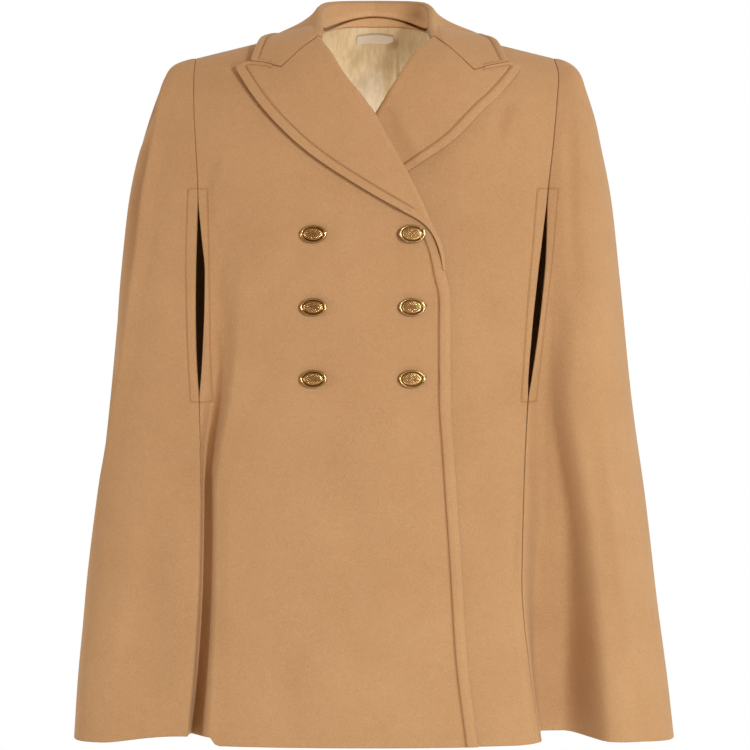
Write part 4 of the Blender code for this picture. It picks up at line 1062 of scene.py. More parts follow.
def make_threads(name, lines, material, slot="wool", pitch=STITCH_PITCH, length=STITCH_LENGTH,
                 radius=STITCH_RADIUS):
    """Make rows of single stitches along lines of points and normals."""
    stations = np.array((-1, -0.62, 0, 0.62, 1))
    widths = np.array((0.35, 0.85, 1, 0.85, 0.35))
    heights = np.array((-1.0, -0.05, 0.35, -0.05, -1.0))
    sides = 6
    size = len(stations) * sides
    turns = np.arange(sides) * math.tau / sides
    rings = []
    for points, normals in lines:
        lengths = np.concatenate([[0], np.cumsum(np.linalg.norm(np.diff(points, axis=0), axis=-1))])
        count = max(int(lengths[-1] / pitch), 1)
        middles = (np.arange(count) + 0.5) * lengths[-1] / count
        centre, ahead, behind = [along_line(points, lengths, middles + step) for step in (0, 0.8, -0.8)]
        up = unit(along_line(normals, lengths, middles))
        along = unit(ahead - behind)
        along = unit(along - up * np.sum(along * up, axis=-1, keepdims=True))
        across = np.cross(up, along)
        spine = centre[:, None] + along[:, None] * (stations * length / 2)[:, None]
        spine = spine + up[:, None] * (heights * radius)[:, None]
        around = across[:, None, None] * np.cos(turns)[:, None] + up[:, None, None] * np.sin(turns)[:, None]
        ring = spine[:, :, None] + around * (widths * radius)[:, None, None]
        rings.append(ring.reshape(-1, 3))
    points = np.concatenate(rings)
    base = np.arange(size).reshape(-1, sides)
    after = np.roll(base, -1, axis=1)
    walls = np.stack([base[:-1], after[:-1], after[1:], base[1:]], axis=-1).reshape(-1, 4)
    caps = [base[row, corners] for row in (0, -1) for corners in ([0, 1, 2, 3], [3, 4, 5, 0])]
    faces = np.concatenate([walls, caps]) + np.arange(0, len(points), size)[:, None, None]
    piece = make_object(name, points, faces.reshape(-1, 4).tolist(), [material])


def line_at(points, normals, places):
    """Return points and normals of a grid at places, each a part row and a part column."""
    rows, columns = np.array(places, float).T
    row = np.clip(np.floor(rows).astype(int), 0, points.shape[0] - 2)
    column = np.clip(np.floor(columns).astype(int), 0, points.shape[1] - 2)
    r = (rows - row)[:, None]
    c = (columns - column)[:, None]
    found = []
    for grid in (points, normals):
        low = grid[row, column] * (1 - c) + grid[row, column + 1] * c
        high = grid[row + 1, column] * (1 - c) + grid[row + 1, column + 1] * c
        found.append(low * (1 - r) + high * r)
    return found[0], unit(found[1])


def falls_to(level, values):
    """Return the part number at which values that fall one after another reach a level."""
    return np.interp(-level, -values, np.arange(len(values)))


def facing(points, row, column, way):
    """Return a grid's normals, turned so that the one at a place points the given way."""
    normals = grid_normals(points)
    return normals if np.dot(normals[row, column], way) > 0 else -normals


def ring_at(drop):
    """Return the part ring number that lies a given drop below the shoulder at the seams."""
    rings = np.linspace(0, len(RINGS["seam_drop"]) - 1, 3201)
    return np.interp(drop, on_ring("seam_drop", rings), rings)


def panel_rings():
    """Return the ring numbers of the panels' rows: close together on the shoulder and at the hem."""
    turn = np.linspace(0, math.pi / 2, 34)
    shoulder = SHOULDER_ROUND * (1 - np.cos(turn))
    apart = 3.4
    down = np.arange(SHOULDER_ROUND + apart, HEM_DROP - 4, apart)
    hem = HEM_DROP - np.array((apart, 2.2, 1.5, 1.0, 0.6, 0.3, 0.1, 0))
    return ring_at(np.concatenate([shoulder, down, hem]))


def spread(*parts):
    """Join ranges of (start, stop, count) into one list of places, without their last ends."""
    places = [np.linspace(start, stop, count, endpoint=False) for start, stop, count in parts]
    return np.concatenate(places + [[parts[-1][1]]])


def panel_columns():
    """Return the columns of the fronts, the sides and the back."""
    edge = np.array((EDGE_REACH, 16, 15.2, 14.6, 14.2, 13.8, 13.4, 13, 12.4, 11.4, 9.5, 7.5, 5.5, 4, 2.8, 2,
                     1.5, 1.1, 0.75, 0.45, 0.25, 0.1, 0))
    middle = spread((0.011, FOLD_SHARE, 14), (FOLD_SHARE, SEAM_SHARE, 18), (SEAM_SHARE, 1 - EDGE_SHARE, 56))
    front = np.concatenate([
        (0, 0.0008, 0.002, 0.004, 0.007),
        middle[:-1],
        1 - edge * EDGE_SHARE / EDGE_REACH,
    ])
    rim = np.array((0, 0.0012, 0.003, 0.006, 0.01, 0.016))
    side = np.concatenate([rim, spread((0.026, 1, 48), (1, 1.974, 40)), 2 - rim[::-1]])
    back = np.concatenate([-1 + rim / 2, spread((-0.985, 0.985, 108)), 1 - rim[::-1] / 2])
    return front, side, back


def puff(margin, height):
    """Return how high the cloth swells between a row of stitches and its edge, with the stitches' dent."""
    return height * (smooth(margin / 4.0) - STITCH_DENT * bump(margin / 2.0))


def round_corner(points, to_edge, to_end, reach, last_row):
    """Draw in the corner of a grid between its last column and its first or last row."""
    a = np.clip(reach - to_edge, 0, reach)
    b = np.clip(reach - to_end, 0, reach)
    in_a = a * (1 - np.sqrt(1 - b * b / (2 * reach * reach)))
    in_b = b * (1 - np.sqrt(1 - a * a / (2 * reach * reach)))
    across = unit(np.gradient(points, axis=1) + 1e-9)
    along = unit(np.gradient(points, axis=0) + 1e-9) * (1 if last_row else -1)
    return points - across * in_a[..., None] - along * in_b[..., None]


def slit_beyond(side, panel, points):
    """Return how far outside its row of stitches each point beside an arm slit is."""
    x, z = points[..., 0], points[..., 2]
    away = np.abs(x - SIGN[side] * seam_x(side, z))
    return away - at_height(SLIT_STITCHES, side + "_" + panel, z)


def slit_margin(side, panel, points):
    """Return how far inside its row of stitches each point beside an arm slit is, in millimetres."""
    inside = -slit_beyond(side, panel, points)
    z = points[..., 2]
    return np.minimum.reduce([inside, z - SLIT_STITCH_LOW, SLIT_STITCH_TOP - z, -points[..., 1]])


def slit_lines(side, panel, points, normals):
    """Return the lines of stitches beside an arm slit: the long one and the bars at its ends."""
    z = points[..., 2]
    beyond = slit_beyond(side, panel, points)
    rows = np.arange(np.argmax(z[:, 0] < SLIT_STITCH_TOP), np.argmax(z[:, 0] < SLIT_STITCH_LOW))
    limit = points.shape[1] // 3
    places = [(row, np.interp(0, beyond[row, :limit], np.arange(limit))) for row in rows]
    lines = [line_at(points, normals, places)]
    for level, (_, end) in ((SLIT_STITCH_TOP, places[0]), (SLIT_STITCH_LOW, places[-1])):
        across = np.linspace(0.5, end, BAR_STATIONS)
        bar = [(falls_to(level, z[:, int(column)]), column) for column in across]
        lines.append(line_at(points, normals, bar))
    return lines


def panel_grid(columns, rings):
    """Return the column places and the rings of a panel's grid."""
    return np.meshgrid(rings, columns, indexing="ij")[::-1]


def match_normals(grids, normals, side_s):
    """Let the panels' normals agree at their seams, and turn slowly beside the front seams."""
    for one, at_one, other, at_other in (
        ("front_right", 0, "side_right", 0),
        ("front_left", 0, "side_left", 0),
        ("back", 0, "side_right", -1),
        ("back", -1, "side_left", -1),
    ):
        mean = unit(normals[one][:, at_one] + normals[other][:, at_other])
        normals[one][:, at_one] = mean
        normals[other][:, at_other] = mean
    reach = int(np.argmax(side_s > 0.1))
    share = (side_s[1:reach] / side_s[reach])[:, None]
    for name in ("side_right", "side_left"):
        ways = normals[name]
        ways[:, 1:reach] = unit(ways[:, :1] * (1 - share) + ways[:, reach:reach + 1] * share)
    for name, points in grids.items():
        x, y, _ = points[0].T
        lean = unit(np.stack([np.sign(x) * SHOULDER_SLOPE, 0 * x, 1 + 0 * x], axis=-1))
        on_shoulder = np.abs(y) < 1.6
        normals[name][0][on_shoulder] = lean[on_shoulder]


def build_panels(materials):
    """Make the fronts, the sides and the back, with the stitches beside the slits and the front edge."""
    rings = panel_rings()
    front_u, side_s, back_u = panel_columns()
    grids = {}
    reliefs = {}
    for side in SIGN:
        grids["front_" + side], reliefs["front_" + side] = front_panel(side, *panel_grid(front_u, rings))
        grids["side_" + side] = side_panel(side, *panel_grid(side_s, rings))
    grids["back"] = back_panel(*panel_grid(back_u, rings))
    normals = {}
    for name, points in grids.items():
        row, column = points.shape[0] // 2, points.shape[1] // 2
        normals[name] = facing(points, row, column, points[row, column] * (1, 1, 0))
    match_normals(grids, normals, side_s)
    side_thick = SIDE_TOP + (WOOL - SIDE_TOP) * smooth(on_ring("seam_drop", rings) / 14)[:, None, None]
    lines = []
    pieces = {}
    for name, points in grids.items():
        panel, _, side = name.partition("_")
        ways = normals[name]
        outer = points + reliefs.get(name, 0.0)
        beside_slit = margin = np.full(points.shape[:2], NO_STITCH)
        if side:
            beside_slit = margin = slit_margin(side, panel, points)
            lines += slit_lines(side, panel, outer, ways)
        edge, inner_edge = (OPEN_EDGE, 1.0) if panel == "front" else (SEAM_EDGE, 0.5)
        if name == "front_right":
            z = points[..., 2]
            from_edge = np.abs(panel_edge(side, z) - points[..., 0])
            margin = np.maximum(margin, np.where(z < WELT_TOP_Z, WELT_WIDTH - from_edge, NO_STITCH))
            column = int(np.argmin(np.abs((1 - front_u) * EDGE_REACH / EDGE_SHARE - WELT_WIDTH)))
            rows = np.nonzero(z[:, column] < WELT_TOP_Z - 4)[0]
            lines.append((outer[rows, column], ways[rows, column]))
            bend = (smooth(1 - from_edge / WELT_FALL_WIDTH) * smooth((WELT_TOP_Z - z) / 30))[..., None]
            points = points - ways * WELT_BEND * bend
            outer = outer - ways * (WELT_BEND + WELT_FALL) * bend
            edge = WELT_EDGE
        outer = outer + ways * puff(beside_slit, SLIT_PUFF)[..., None]
        fall = rounded(points, (SEAM_EDGE, edge, 0.7, OPEN_EDGE))[..., None]
        inner_fall = rounded(points, (0.5, inner_edge, 0.3, OPEN_EDGE))[..., None]
        inner = points - ways * ((side_thick if panel == "side" else WOOL) - inner_fall)
        # The inside face gets a darker copy of the wool: painted shade for the unlit inside.
        cloth = (materials["wool"], materials["wool_inside"])
        # The top front's open edge gets no painted shade along its rim.
        plain = (1,) if name == "front_right" else ()
        pieces[name] = make_shell(name, outer - ways * fall, inner, cloth, margin, plain)
    make_threads("stitches_panels", lines, materials["thread"])
    return pieces


def folded_shell(node, points, normals, thickness, margin, radii, inner_radii, material, plain=()):
    """Make a turned-over piece that is puffed beyond its stitches, and return its middle layer's face."""
    half = normals * (thickness / 2)[..., None]
    raised = normals * puff(margin, PUFF)[..., None]
    outer = points + half + raised - normals * rounded(points, radii)[..., None]
    inner = points - half + normals * rounded(points, inner_radii)[..., None]
    make_shell(node, outer, inner, (material,), margin, plain)
    return points + half


def build_lapels(materials):
    """Make both lapels and return what their collar needs of their gorges."""
    at = np.concatenate([
        (0, 0.002, 0.005, 0.01), spread((0.018, 0.984, 96)), (0.99, 0.994, 0.997, 0.9985, 1)])
    share = np.concatenate([spread((0, 0.95, 62)), (0.965, 0.978, 0.987, 0.993, 0.997, 0.999, 1)])
    first_flat = len(ROLL_ANGLES)
    shares = np.concatenate([np.zeros(first_flat), share])
    gorges = {}
    lines = []
    for side in SIGN:
        points, thickness = lapel_grid(side, at, share)
        to_edge = arc_lengths(points, 1, True)
        to_top = arc_lengths(points, 0, True)
        points = round_corner(points, to_edge, to_top, LAPEL_CORNER, True)
        normals = facing(points, 50, -20, (0, -1, 0))
        z = points[..., 2]
        low = LAPEL_STITCH_LOW[side]
        from_edge = np.where(z > low, LAPEL_STITCH - to_edge, NO_STITCH)
        from_top = np.where(shares > GORGE_STITCH_FROM, GORGE_STITCH - to_top, NO_STITCH)
        # The lapel's roll and its lower end get no painted shade along their rims.
        face = folded_shell(
            "lapel_" + side, points, normals, thickness, np.maximum(from_edge, from_top),
            (0, FOLDED_EDGE, 0.4, 1.2), (0, 0.9, 0.3, 0.6), materials["wool_facing"], (0, 2))
        places = []
        for row in range(len(at)):
            column = falls_to(LAPEL_STITCH, to_edge[row])
            near = int(round(column))
            wide_enough = to_edge[row, 0] > 3 * LAPEL_STITCH
            if wide_enough and z[row, near] > low and to_top[row, near] > GORGE_STITCH:
                places.append((row, column))
        lines.append(line_at(face, normals, places))
        places = []
        for column in range(first_flat, points.shape[1]):
            row = falls_to(GORGE_STITCH, to_top[:, column])
            if shares[column] > GORGE_STITCH_FROM and to_edge[int(round(row)), column] > LAPEL_STITCH * 0.6:
                places.append((row, column))
        lines.append(line_at(face, normals, places))
        gorges[side] = (points[-1], normals[-1], thickness[-1], share)
    make_threads("stitches_lapels", lines, materials["thread"], "wool_facing")
    return gorges


def gorge_row(gorge, shares):
    """Return a lapel's gorge at the collar's own places: its points, its normals and its thickness."""
    points, normals, thickness, of_lapel = gorge
    first_flat = len(ROLL_ANGLES)
    found = []
    for values in (points, normals, thickness[:, None]):
        flat = [np.interp(shares * GORGE_SHARE, of_lapel, column) for column in values[first_flat:].T]
        found.append(np.concatenate([values[:first_flat], np.stack(flat, axis=-1)]))
    return found[0], unit(found[1]), found[2][:, 0]


def build_collar(gorges, materials):
    """Make the collar round the neck, from gorge to gorge."""
    places = np.linspace(0, COLLAR_END, 92)
    shares = np.concatenate([spread((0, 0.94, 48)), (0.96, 0.975, 0.986, 0.993, 0.997, 1)])
    stations = np.concatenate([ROLL_STATIONS, FLAT_STATION + FLAT_STATIONS * GORGE_SHARE * shares])
    stitched = stations > FLAT_STATION + FLAT_STATIONS * GORGE_STITCH_FROM
    halves = {}
    ends = {}
    for side in SIGN:
        gorge, out, thick = gorge_row(gorges[side], shares)
        ends[side] = (out, thick)
        across = unit(np.cross(out, np.gradient(gorge, axis=0)))
        end = gorge + across * np.sign(across[:, 2:3]) * 0.4
        half = collar_rows(side, shares, places)
        joining = join_collar(side, half[-1], end, places[-1], np.linspace(0.07, 0.95, 13), stations)
        half = np.concatenate([half, joining])
        lifted = lift_over_body(half, COLLAR_LIFT)
        half = half + (lifted - half) * smooth(stations - FLAT_STATION)[:, None]
        halves[side] = np.concatenate([half, end[None]])
    points = np.concatenate([halves["right"][::-1], halves["left"][1:]])
    to_edge = arc_lengths(points, 1, True)
    points = round_corner(points, to_edge, arc_lengths(points, 0), COLLAR_CORNER, False)
    points = round_corner(points, to_edge, arc_lengths(points, 0, True), COLLAR_CORNER, True)
    normals = facing(points, len(points) // 2, -2, (0, 1, 0))
    thickness = np.full(points.shape[:2], COLLAR_THICK)
    for row, side in ((0, "right"), (-1, "left")):
        normals[row], thickness[row] = ends[side]
    to_edge = arc_lengths(points, 1, True)
    to_end = np.minimum(arc_lengths(points, 0), arc_lengths(points, 0, True))
    margin = np.maximum(COLLAR_STITCH - to_edge, np.where(stitched, GORGE_STITCH - to_end, NO_STITCH))
    face = folded_shell("collar", points, normals, thickness, margin, (0, FOLDED_EDGE, 0.7, 0.7),
                        (0, 1.0, 0.4, 0.4), materials["wool_facing"])
    count = len(points)
    rows = np.nonzero(to_end[:, -1] > GORGE_STITCH)[0]
    lines = [line_at(face, normals, [(row, falls_to(COLLAR_STITCH, to_edge[row])) for row in rows])]
    for start, near in ((0, np.arange(30)), (-1, np.arange(count - 1, count - 31, -1))):
        columns = np.nonzero(stitched & (to_edge[start] > COLLAR_STITCH * 0.6))[0]
        ends_at = [(np.interp(GORGE_STITCH, to_end[near, column], near), column) for column in columns]
        lines.append(line_at(face, normals, ends_at))
    make_threads("stitches_collar", lines, materials["thread"])


def lining_relief(x, z):
    """Return how far the lining stands in from the back: its pleat and its soft creases."""
    fade = smooth((10 - z) / 14) * smooth((z + 330) / 60)
    pleat = 3.2 * smooth((x - 10) / 14) * (1 - smooth((x - 27) / 1.6))
    waves = 0.9 * np.sin(x * 0.13 + 0.8 * np.sin(z * 0.03)) + 0.6 * np.sin(x * 0.057 - z * 0.02 + 1)
    return fade * (pleat + 1.0 + 0.6 * waves)


def facing_depth(u):
    """Return how many rings deep the neck facing is: most at the centre back, least at the neck's sides."""
    size = np.abs(u)
    return FACING_RINGS * (1 - 0.62 * smooth(size / 0.30) * (1 - smooth((size - BACK_NECK) / 0.16)))


def build_inside(materials):
    """Make the neck facing, the half lining and the blank label inside the back."""
    layers = (
        ("neck_facing", (0, 3), 0.38, 36, 16, 0.0, FACING, "wool_facing"),
        ("back_lining", (3, 11), 0.61, 150, 120, 0.0, LINING, "lining"),
        ("label", (4, 5), 0.09, 40, 12, LINING + LAYER_GAP, LABEL_THICK, "label"),
    )
    for name, ends, reach, columns, rows, inside, thick, slot in layers:
        u, ring = panel_grid(np.linspace(-reach, reach, columns), np.linspace(*ends, rows))
        low = facing_depth(u)
        if name == "neck_facing":
            ring = ring * low / FACING_RINGS
        if name == "back_lining":
            ring = ends[1] + (ring - ends[1]) * (ends[1] - low) / (ends[1] - FACING_RINGS)
        points = back_panel(u, ring)
        normals = facing(points, rows // 2, columns // 2, (0, 1, 0))
        offset = WOOL + LAYER_GAP + inside
        if name == "back_lining":
            points[0] += unit(points[1] - points[0]) * SEAM_GAP
            offset = offset + lining_relief(points[..., 0], points[..., 2])[..., None]
        fall = rounded(points, (thick * 0.4,) * 4)[..., None]
        inner = points - normals * (offset + fall)
        outer = points - normals * (offset + thick - fall)
        make_shell(name, outer, inner, (materials[slot],), np.full(points.shape[:2], NO_STITCH))


def button_net(across, up):
    """Return 1 in the lines of the net on a button's middle and 0 between them."""
    one = np.abs(np.sin((across + up) * 1.15))
    other = np.abs(np.sin((across - up) * 1.15))
    return 1 - smooth(np.minimum(one, other) / 0.75)


def button_height(radius, turn, across, up):
    """Return the height of a button's face: a round rim, a groove and a flat middle with a fine net."""
    rim = 1.45 * np.sqrt(1 - np.clip((radius - 0.895) / 0.105, -1, 1) ** 2)
    groove = 0.35 * bump((radius - 0.765) / 0.03)
    middle = 0.75 * smooth((0.745 - radius) / 0.04) + 0.3 * np.clip(1 - (radius / 0.74) ** 2, 0, 1)
    line = 0.3 * bump((radius - 0.655) / 0.025)
    net = 0.4 * (1 - button_net(across, up)) * smooth((0.60 - radius) / 0.05)
    beads = 0.1 * (0.5 + 0.5 * np.cos(turn * 40)) * bump((radius - 0.70) / 0.03)
    return BUTTON_STEM + 1.15 + rim - groove + middle - line + net + beads


def button_form():
    """Return a button's rows of points about its foot, its faces and how dark each point is."""
    radii = np.concatenate([np.linspace(0.02, 0.98, 72), (0.99, 1.0)])
    turns = np.arange(BUTTON_TURNS) * math.tau / BUTTON_TURNS
    radius, turn = np.meshgrid(radii, turns, indexing="ij")
    across = radius * np.cos(turn) * BUTTON_HALF_WIDTH
    up = radius * np.sin(turn) * BUTTON_HALF_HEIGHT
    height = button_height(radius, turn, across, up)
    height[-1] -= 0.5
    height[-2] -= 0.15
    ovals = [(BUTTON_HALF_WIDTH * size, BUTTON_HALF_HEIGHT * size, level)
             for size, level in ((1.0, 1.25), (0.985, 0.7), (0.95, 0.3), (0.86, 0.0))]
    stem = [(3.2, 3.2, 0.0), (2.9, 2.9, -0.5), (2.9, 2.9, 0.35 - BUTTON_STEM)]
    back = [np.stack([np.cos(turns) * wide, np.sin(turns) * high, 0 * turns + BUTTON_STEM + level], axis=-1)
            for wide, high, level in ovals + stem]
    form = np.concatenate([np.stack([across, up, height], axis=-1), np.stack(back)])
    index = np.arange(form.shape[0] * BUTTON_TURNS).reshape(-1, BUTTON_TURNS)
    after = np.roll(index, -1, axis=1)
    faces = np.stack([index[:-1], after[:-1], after[1:], index[1:]], axis=-1).reshape(-1, 4)[:, ::-1]
    tip = index.size + 0 * turns.astype(int)
    front_cap = np.stack([index[0], after[0], tip], axis=-1)
    back_cap = np.stack([after[-1], index[-1], tip + 1], axis=-1)
    worn = np.clip((2.05 - height + BUTTON_STEM) / 0.5, 0, 1)
    woven = button_net(across, up) * smooth((0.60 - radius) / 0.05) + 0.9 * bump((radius - 0.655) / 0.03)
    dark = np.concatenate([np.maximum(worn, woven).ravel(), np.ones(len(back) * BUTTON_TURNS), (0.2, 1.0)])
    return form, faces.tolist() + front_cap.tolist() + back_cap.tolist(), dark


def build_buttons(cloth, materials):
    """Make the six shank buttons: oval, with a rim round a sunken ring and a domed, netted middle."""
    corners = [vertex.co.copy() for vertex in cloth.data.vertices]
    surface = BVHTree.FromPolygons(corners, [tuple(face.vertices) for face in cloth.data.polygons])
    form, faces, dark = button_form()
    spots = [(x, z) for z in BUTTON_ROWS for x in BUTTON_COLUMNS]
    for number, (x, z) in enumerate(spots, 1):
        lift = BUTTON_INNER_RAISE if x > 0 and z > BUTTON_ROWS[1] else 0.0
        x, z = np.array(x), np.array(z)
        out = surface_normal(x, z, "right")
        start = Vector((surface_point(x, z, "right") + out * 10) * MM)
        spot = np.array(surface.ray_cast(start, Vector(-out))[0]) / MM
        right = unit(np.cross(np.array((0.0, 0.0, 1.0)), out))
        above = np.cross(out, right)
        raised = form[..., 2:] + lift * (form[..., 2:] > BUTTON_STEM - 0.6)
        points = spot + form[..., :1] * right + form[..., 1:2] * above + raised * out
        points = np.concatenate([points.reshape(-1, 3), [points[0].mean(axis=0), points[-1].mean(axis=0)]])
        piece = make_object("brass_button_%d" % number, points, faces, [materials["brass"]])
        add_values(piece, "patina", dark)
        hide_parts("button_%d" % number)
    return surface


def build_buttonholes(surface, materials):
    """Make the ends of the buttonholes that show beside the buttons, with stitches across their rims."""
    lines = []
    half, length, bend, count = 1.5, 14.6, 0.08, 60
    for end_x, z in BUTTONHOLE_ENDS:
        for t in np.linspace(-0.5, 0.5, count):
            turn = np.clip(-t / bend, -1, 1) * math.pi / 2
            centre_x = end_x - length * max(abs(t) - bend, 0) / (0.5 - bend)
            out_x, out_z = half * math.cos(turn), half * math.sin(turn)
            found = []
            for reach in (0.35, 1.25):
                start = Vector(((centre_x + out_x * reach) * MM, -0.3, (z + out_z * reach) * MM))
                found.append(surface.ray_cast(start, Vector((0, 1, 0))))
            points = np.array([place for place, *_ in found]) / MM
            lines.append((points, np.array([normal for _, normal, *_ in found])))
    make_threads("stitches_buttonholes", lines, materials["thread_dark"], "wool", *BUTTONHOLE_STITCH)


def add_node(tree, kind, inputs, **options):
    """Add a node with its options and its inputs, which are values or other nodes' outputs."""
    node = tree.nodes.new("ShaderNode" + kind)
    for name, value in options.items():
        setattr(node, name, value)
    for name, value in inputs.items():
        if isinstance(value, bpy.types.NodeSocket):
            tree.links.new(value, node.inputs[name])
        else:
            node.inputs[name].default_value = value
    return node


def maths(tree, operation, *inputs):
    """Add a Math node, whose inputs are numbers or sockets, and return its output."""
    return add_node(tree, "Math", dict(enumerate(inputs)), operation=operation).outputs[0]


def total(tree, *parts):
    """Add up sockets, each times its own factor."""
    (value, factor), *others = parts
    result = maths(tree, "MULTIPLY", value, factor)
    for value, factor in others:
        result = maths(tree, "MULTIPLY_ADD", value, factor, result)
    return result


def noise(tree, where, scale, detail=2.0, rough=0.5):
    """Add a noise texture and return its value."""
    inputs = {"Vector": where, "Scale": scale, "Detail": detail, "Roughness": rough}
    return add_node(tree, "TexNoise", inputs).outputs["Fac"]


def ramp_between(tree, value, low, high, kind="SMOOTHSTEP"):
    """Map a value from low..high to 0..1."""
    inputs = {"Value": value, "From Min": low, "From Max": high}
    return add_node(tree, "MapRange", inputs, interpolation_type=kind).outputs["Result"]


def mix_colour(tree, share, one, other):
    """Mix two colours, which are numbers or sockets, by a share."""
    one, other = [(*colour, 1.0) if isinstance(colour, tuple) else colour for colour in (one, other)]
    return add_node(tree, "Mix", {0: share, 6: one, 7: other}, data_type="RGBA").outputs[2]


def attribute(tree, name):
    """Read a number that the piece's points carry."""
    return add_node(tree, "Attribute", {}, attribute_name=name).outputs["Fac"]


def new_material(name, **settings):
    """Start a material and return it with its tree, its shader and its object coordinates."""
    material = bpy.data.materials.new(name)
    material.use_nodes = True
    tree = material.node_tree
    shader = tree.nodes["Principled BSDF"]
    for socket, value in settings.items():
        shader.inputs[socket.replace("_", " ")].default_value = value
    return material, tree, shader, add_node(tree, "TexCoord", {}).outputs["Object"]


def paint(tree, shader, share, one, other):
    """Colour a shader with a mix of two colours."""
    tree.links.new(mix_colour(tree, share, one, other), shader.inputs["Base Color"])


def shaded(colour, shares):
    """Return a colour with each of its parts times a share."""
    return tuple(part * share for part, share in zip(colour, shares))


def add_bump(tree, shader, height):
    """Let a height in metres bump a shader's normal."""
    node = add_node(tree, "Bump", {"Strength": 1.0, "Distance": 1.0, "Height": height})
    tree.links.new(node.outputs["Normal"], shader.inputs["Normal"])


def wool_material(name, dark, light, sheen, edge_shade_share):
    """Make a felted wool cloth: fine fibres, a soft mottle, dents where the stitches pull it in, and
    painted shade in the stitch grooves and along the rims.
    """
    material, tree, shader, where = new_material(
        name, Roughness=0.92, Specular_IOR_Level=0.10, Sheen_Weight=sheen, Sheen_Roughness=0.45,
        Sheen_Tint=(1.0, 0.86, 0.66, 1.0))
    mottle = noise(tree, where, 16, 3)
    patches = noise(tree, where, 120, 3)
    fibres = noise(tree, where, 620, 3, 0.7)
    fuzz = noise(tree, where, 1700, 2, 0.6)
    tone = total(tree, (mottle, 0.22), (patches, 0.10), (fibres, 0.65), (fuzz, 0.50))
    tone = ramp_between(tree, tone, 0.45, 1.02, "LINEAR")
    colour = mix_colour(tree, tone, dark, light)
    margin = attribute(tree, "margin")
    # Painted shade: the cloth is darkened in the grooves of its stitches, where shade falls.
    groove = maths(tree, "SUBTRACT", 1.0, ramp_between(tree, maths(tree, "ABSOLUTE", margin), 0.2, 1.5))
    painted_groove_shade = maths(tree, "MULTIPLY", groove, 0.5)
    colour = mix_colour(tree, painted_groove_shade, colour, shaded(dark, (0.95, 0.78, 0.55)))
    # Painted shade: the cloth is darkened near its rims, where the edges cast shade.
    rim = maths(tree, "SUBTRACT", 1.0, ramp_between(tree, attribute(tree, "rim"), 0.2, 2.0))
    paint(tree, shader, maths(tree, "MULTIPLY", rim, edge_shade_share), colour, shaded(dark, (0.62, 0.42, 0.25)))
    raised = ramp_between(tree, margin, -0.5, 2.5)
    height = total(
        tree, (fibres, 0.00030), (fuzz, 0.00016), (patches, 0.00022), (groove, -0.00030), (raised, 0.00025))
    add_bump(tree, shader, height)
    return material


def thread_material(name, dark, light):
    """Make sewing thread: twisted, with a slight shine."""
    material, tree, shader, where = new_material(name, Roughness=0.6, Sheen_Weight=0.2)
    paint(tree, shader, noise(tree, where, 900, 2), dark, light)
    add_bump(tree, shader, maths(tree, "MULTIPLY", noise(tree, where, 2400, 1), 0.00012))
    return material


def lining_material(name, dark, light):
    """Make a satin lining: smooth and glossy, with a fine weave and soft streaks."""
    material, tree, shader, where = new_material(
        name, Roughness=0.42, Specular_IOR_Level=0.25, Sheen_Weight=0.15)
    stretched = add_node(tree, "Mapping", {"Vector": where, "Scale": (1.0, 1.0, 0.12)})
    streaks = noise(tree, stretched.outputs["Vector"], 260, 3)
    cloud = noise(tree, where, 22, 2)
    weave = noise(tree, where, 1500, 1)
    tone = total(tree, (cloud, 0.5), (streaks, 0.6))
    paint(tree, shader, ramp_between(tree, tone, 0.3, 0.8), dark, light)
    add_bump(tree, shader, total(tree, (weave, 0.00004), (streaks, 0.00012)))
    return material


def label_material(name):
    """Make a plain woven ribbon."""
    material, tree, shader, where = new_material(name, Roughness=0.55)
    ribs = add_node(tree, "TexWave", {"Vector": where, "Scale": 900}, bands_direction="X").outputs["Fac"]
    tone = total(tree, (noise(tree, where, 500, 2), 0.5), (ribs, 0.5))
    paint(tree, shader, tone, (0.47, 0.355, 0.235), (0.56, 0.445, 0.31))
    add_bump(tree, shader, maths(tree, "MULTIPLY", ribs, 0.00008))
    return material


def brass_material(name):
    """Make worn brass, dark in its hollows and bright on its high places."""
    material, tree, shader, where = new_material(name, Metallic=1.0)
    patina = attribute(tree, "patina")
    cloud = noise(tree, where, 300, 4, 0.6)
    grain = noise(tree, where, 1600, 2)
    dark = ramp_between(tree, total(tree, (patina, 0.8), (cloud, 0.5)), 0.25, 1.0)
    paint(tree, shader, dark, (0.56, 0.35, 0.14), (0.15, 0.075, 0.022))
    rough = maths(tree, "MULTIPLY_ADD", cloud, 0.12, maths(tree, "MULTIPLY_ADD", patina, 0.18, 0.16))
    tree.links.new(rough, shader.inputs["Roughness"])
    add_bump(tree, shader, total(tree, (cloud, 0.00012), (grain, 0.00005)))
    return material


def make_materials():
    """Make every material of the cape."""
    return {
        # The last number of each wool sets how strong its painted shade along the rims is. The facing, on
        # the lapels and the collar, has the most.
        "wool": wool_material(
            "camel_wool_cloth", (0.372, 0.195, 0.079), (0.545, 0.325, 0.156), 0.13, 0.3),
        "wool_facing": wool_material(
            "camel_facing_cloth", (0.374, 0.198, 0.081), (0.550, 0.327, 0.158), 0.13, 0.75),
        # A darker copy of the camel wool for the cape's inside face, as painted shade for the unlit inside.
        "wool_inside": wool_material(
            "camel_inner_cloth_painted_shade", (0.16, 0.085, 0.035), (0.26, 0.145, 0.065), 0.10, 0.2),
        "lining": lining_material("satin_lining", (0.40, 0.265, 0.125), (0.53, 0.385, 0.205)),
        "label": label_material("ribbon_label"),
        "thread": thread_material("camel_thread", (0.34, 0.18, 0.07), (0.50, 0.30, 0.14)),
        "thread_dark": thread_material("buttonhole_thread", (0.13, 0.065, 0.025), (0.26, 0.145, 0.06)),
        "brass": brass_material("worn_brass"),
    }


WORLD_FRONT = (0.33, 0.15, 0.03)
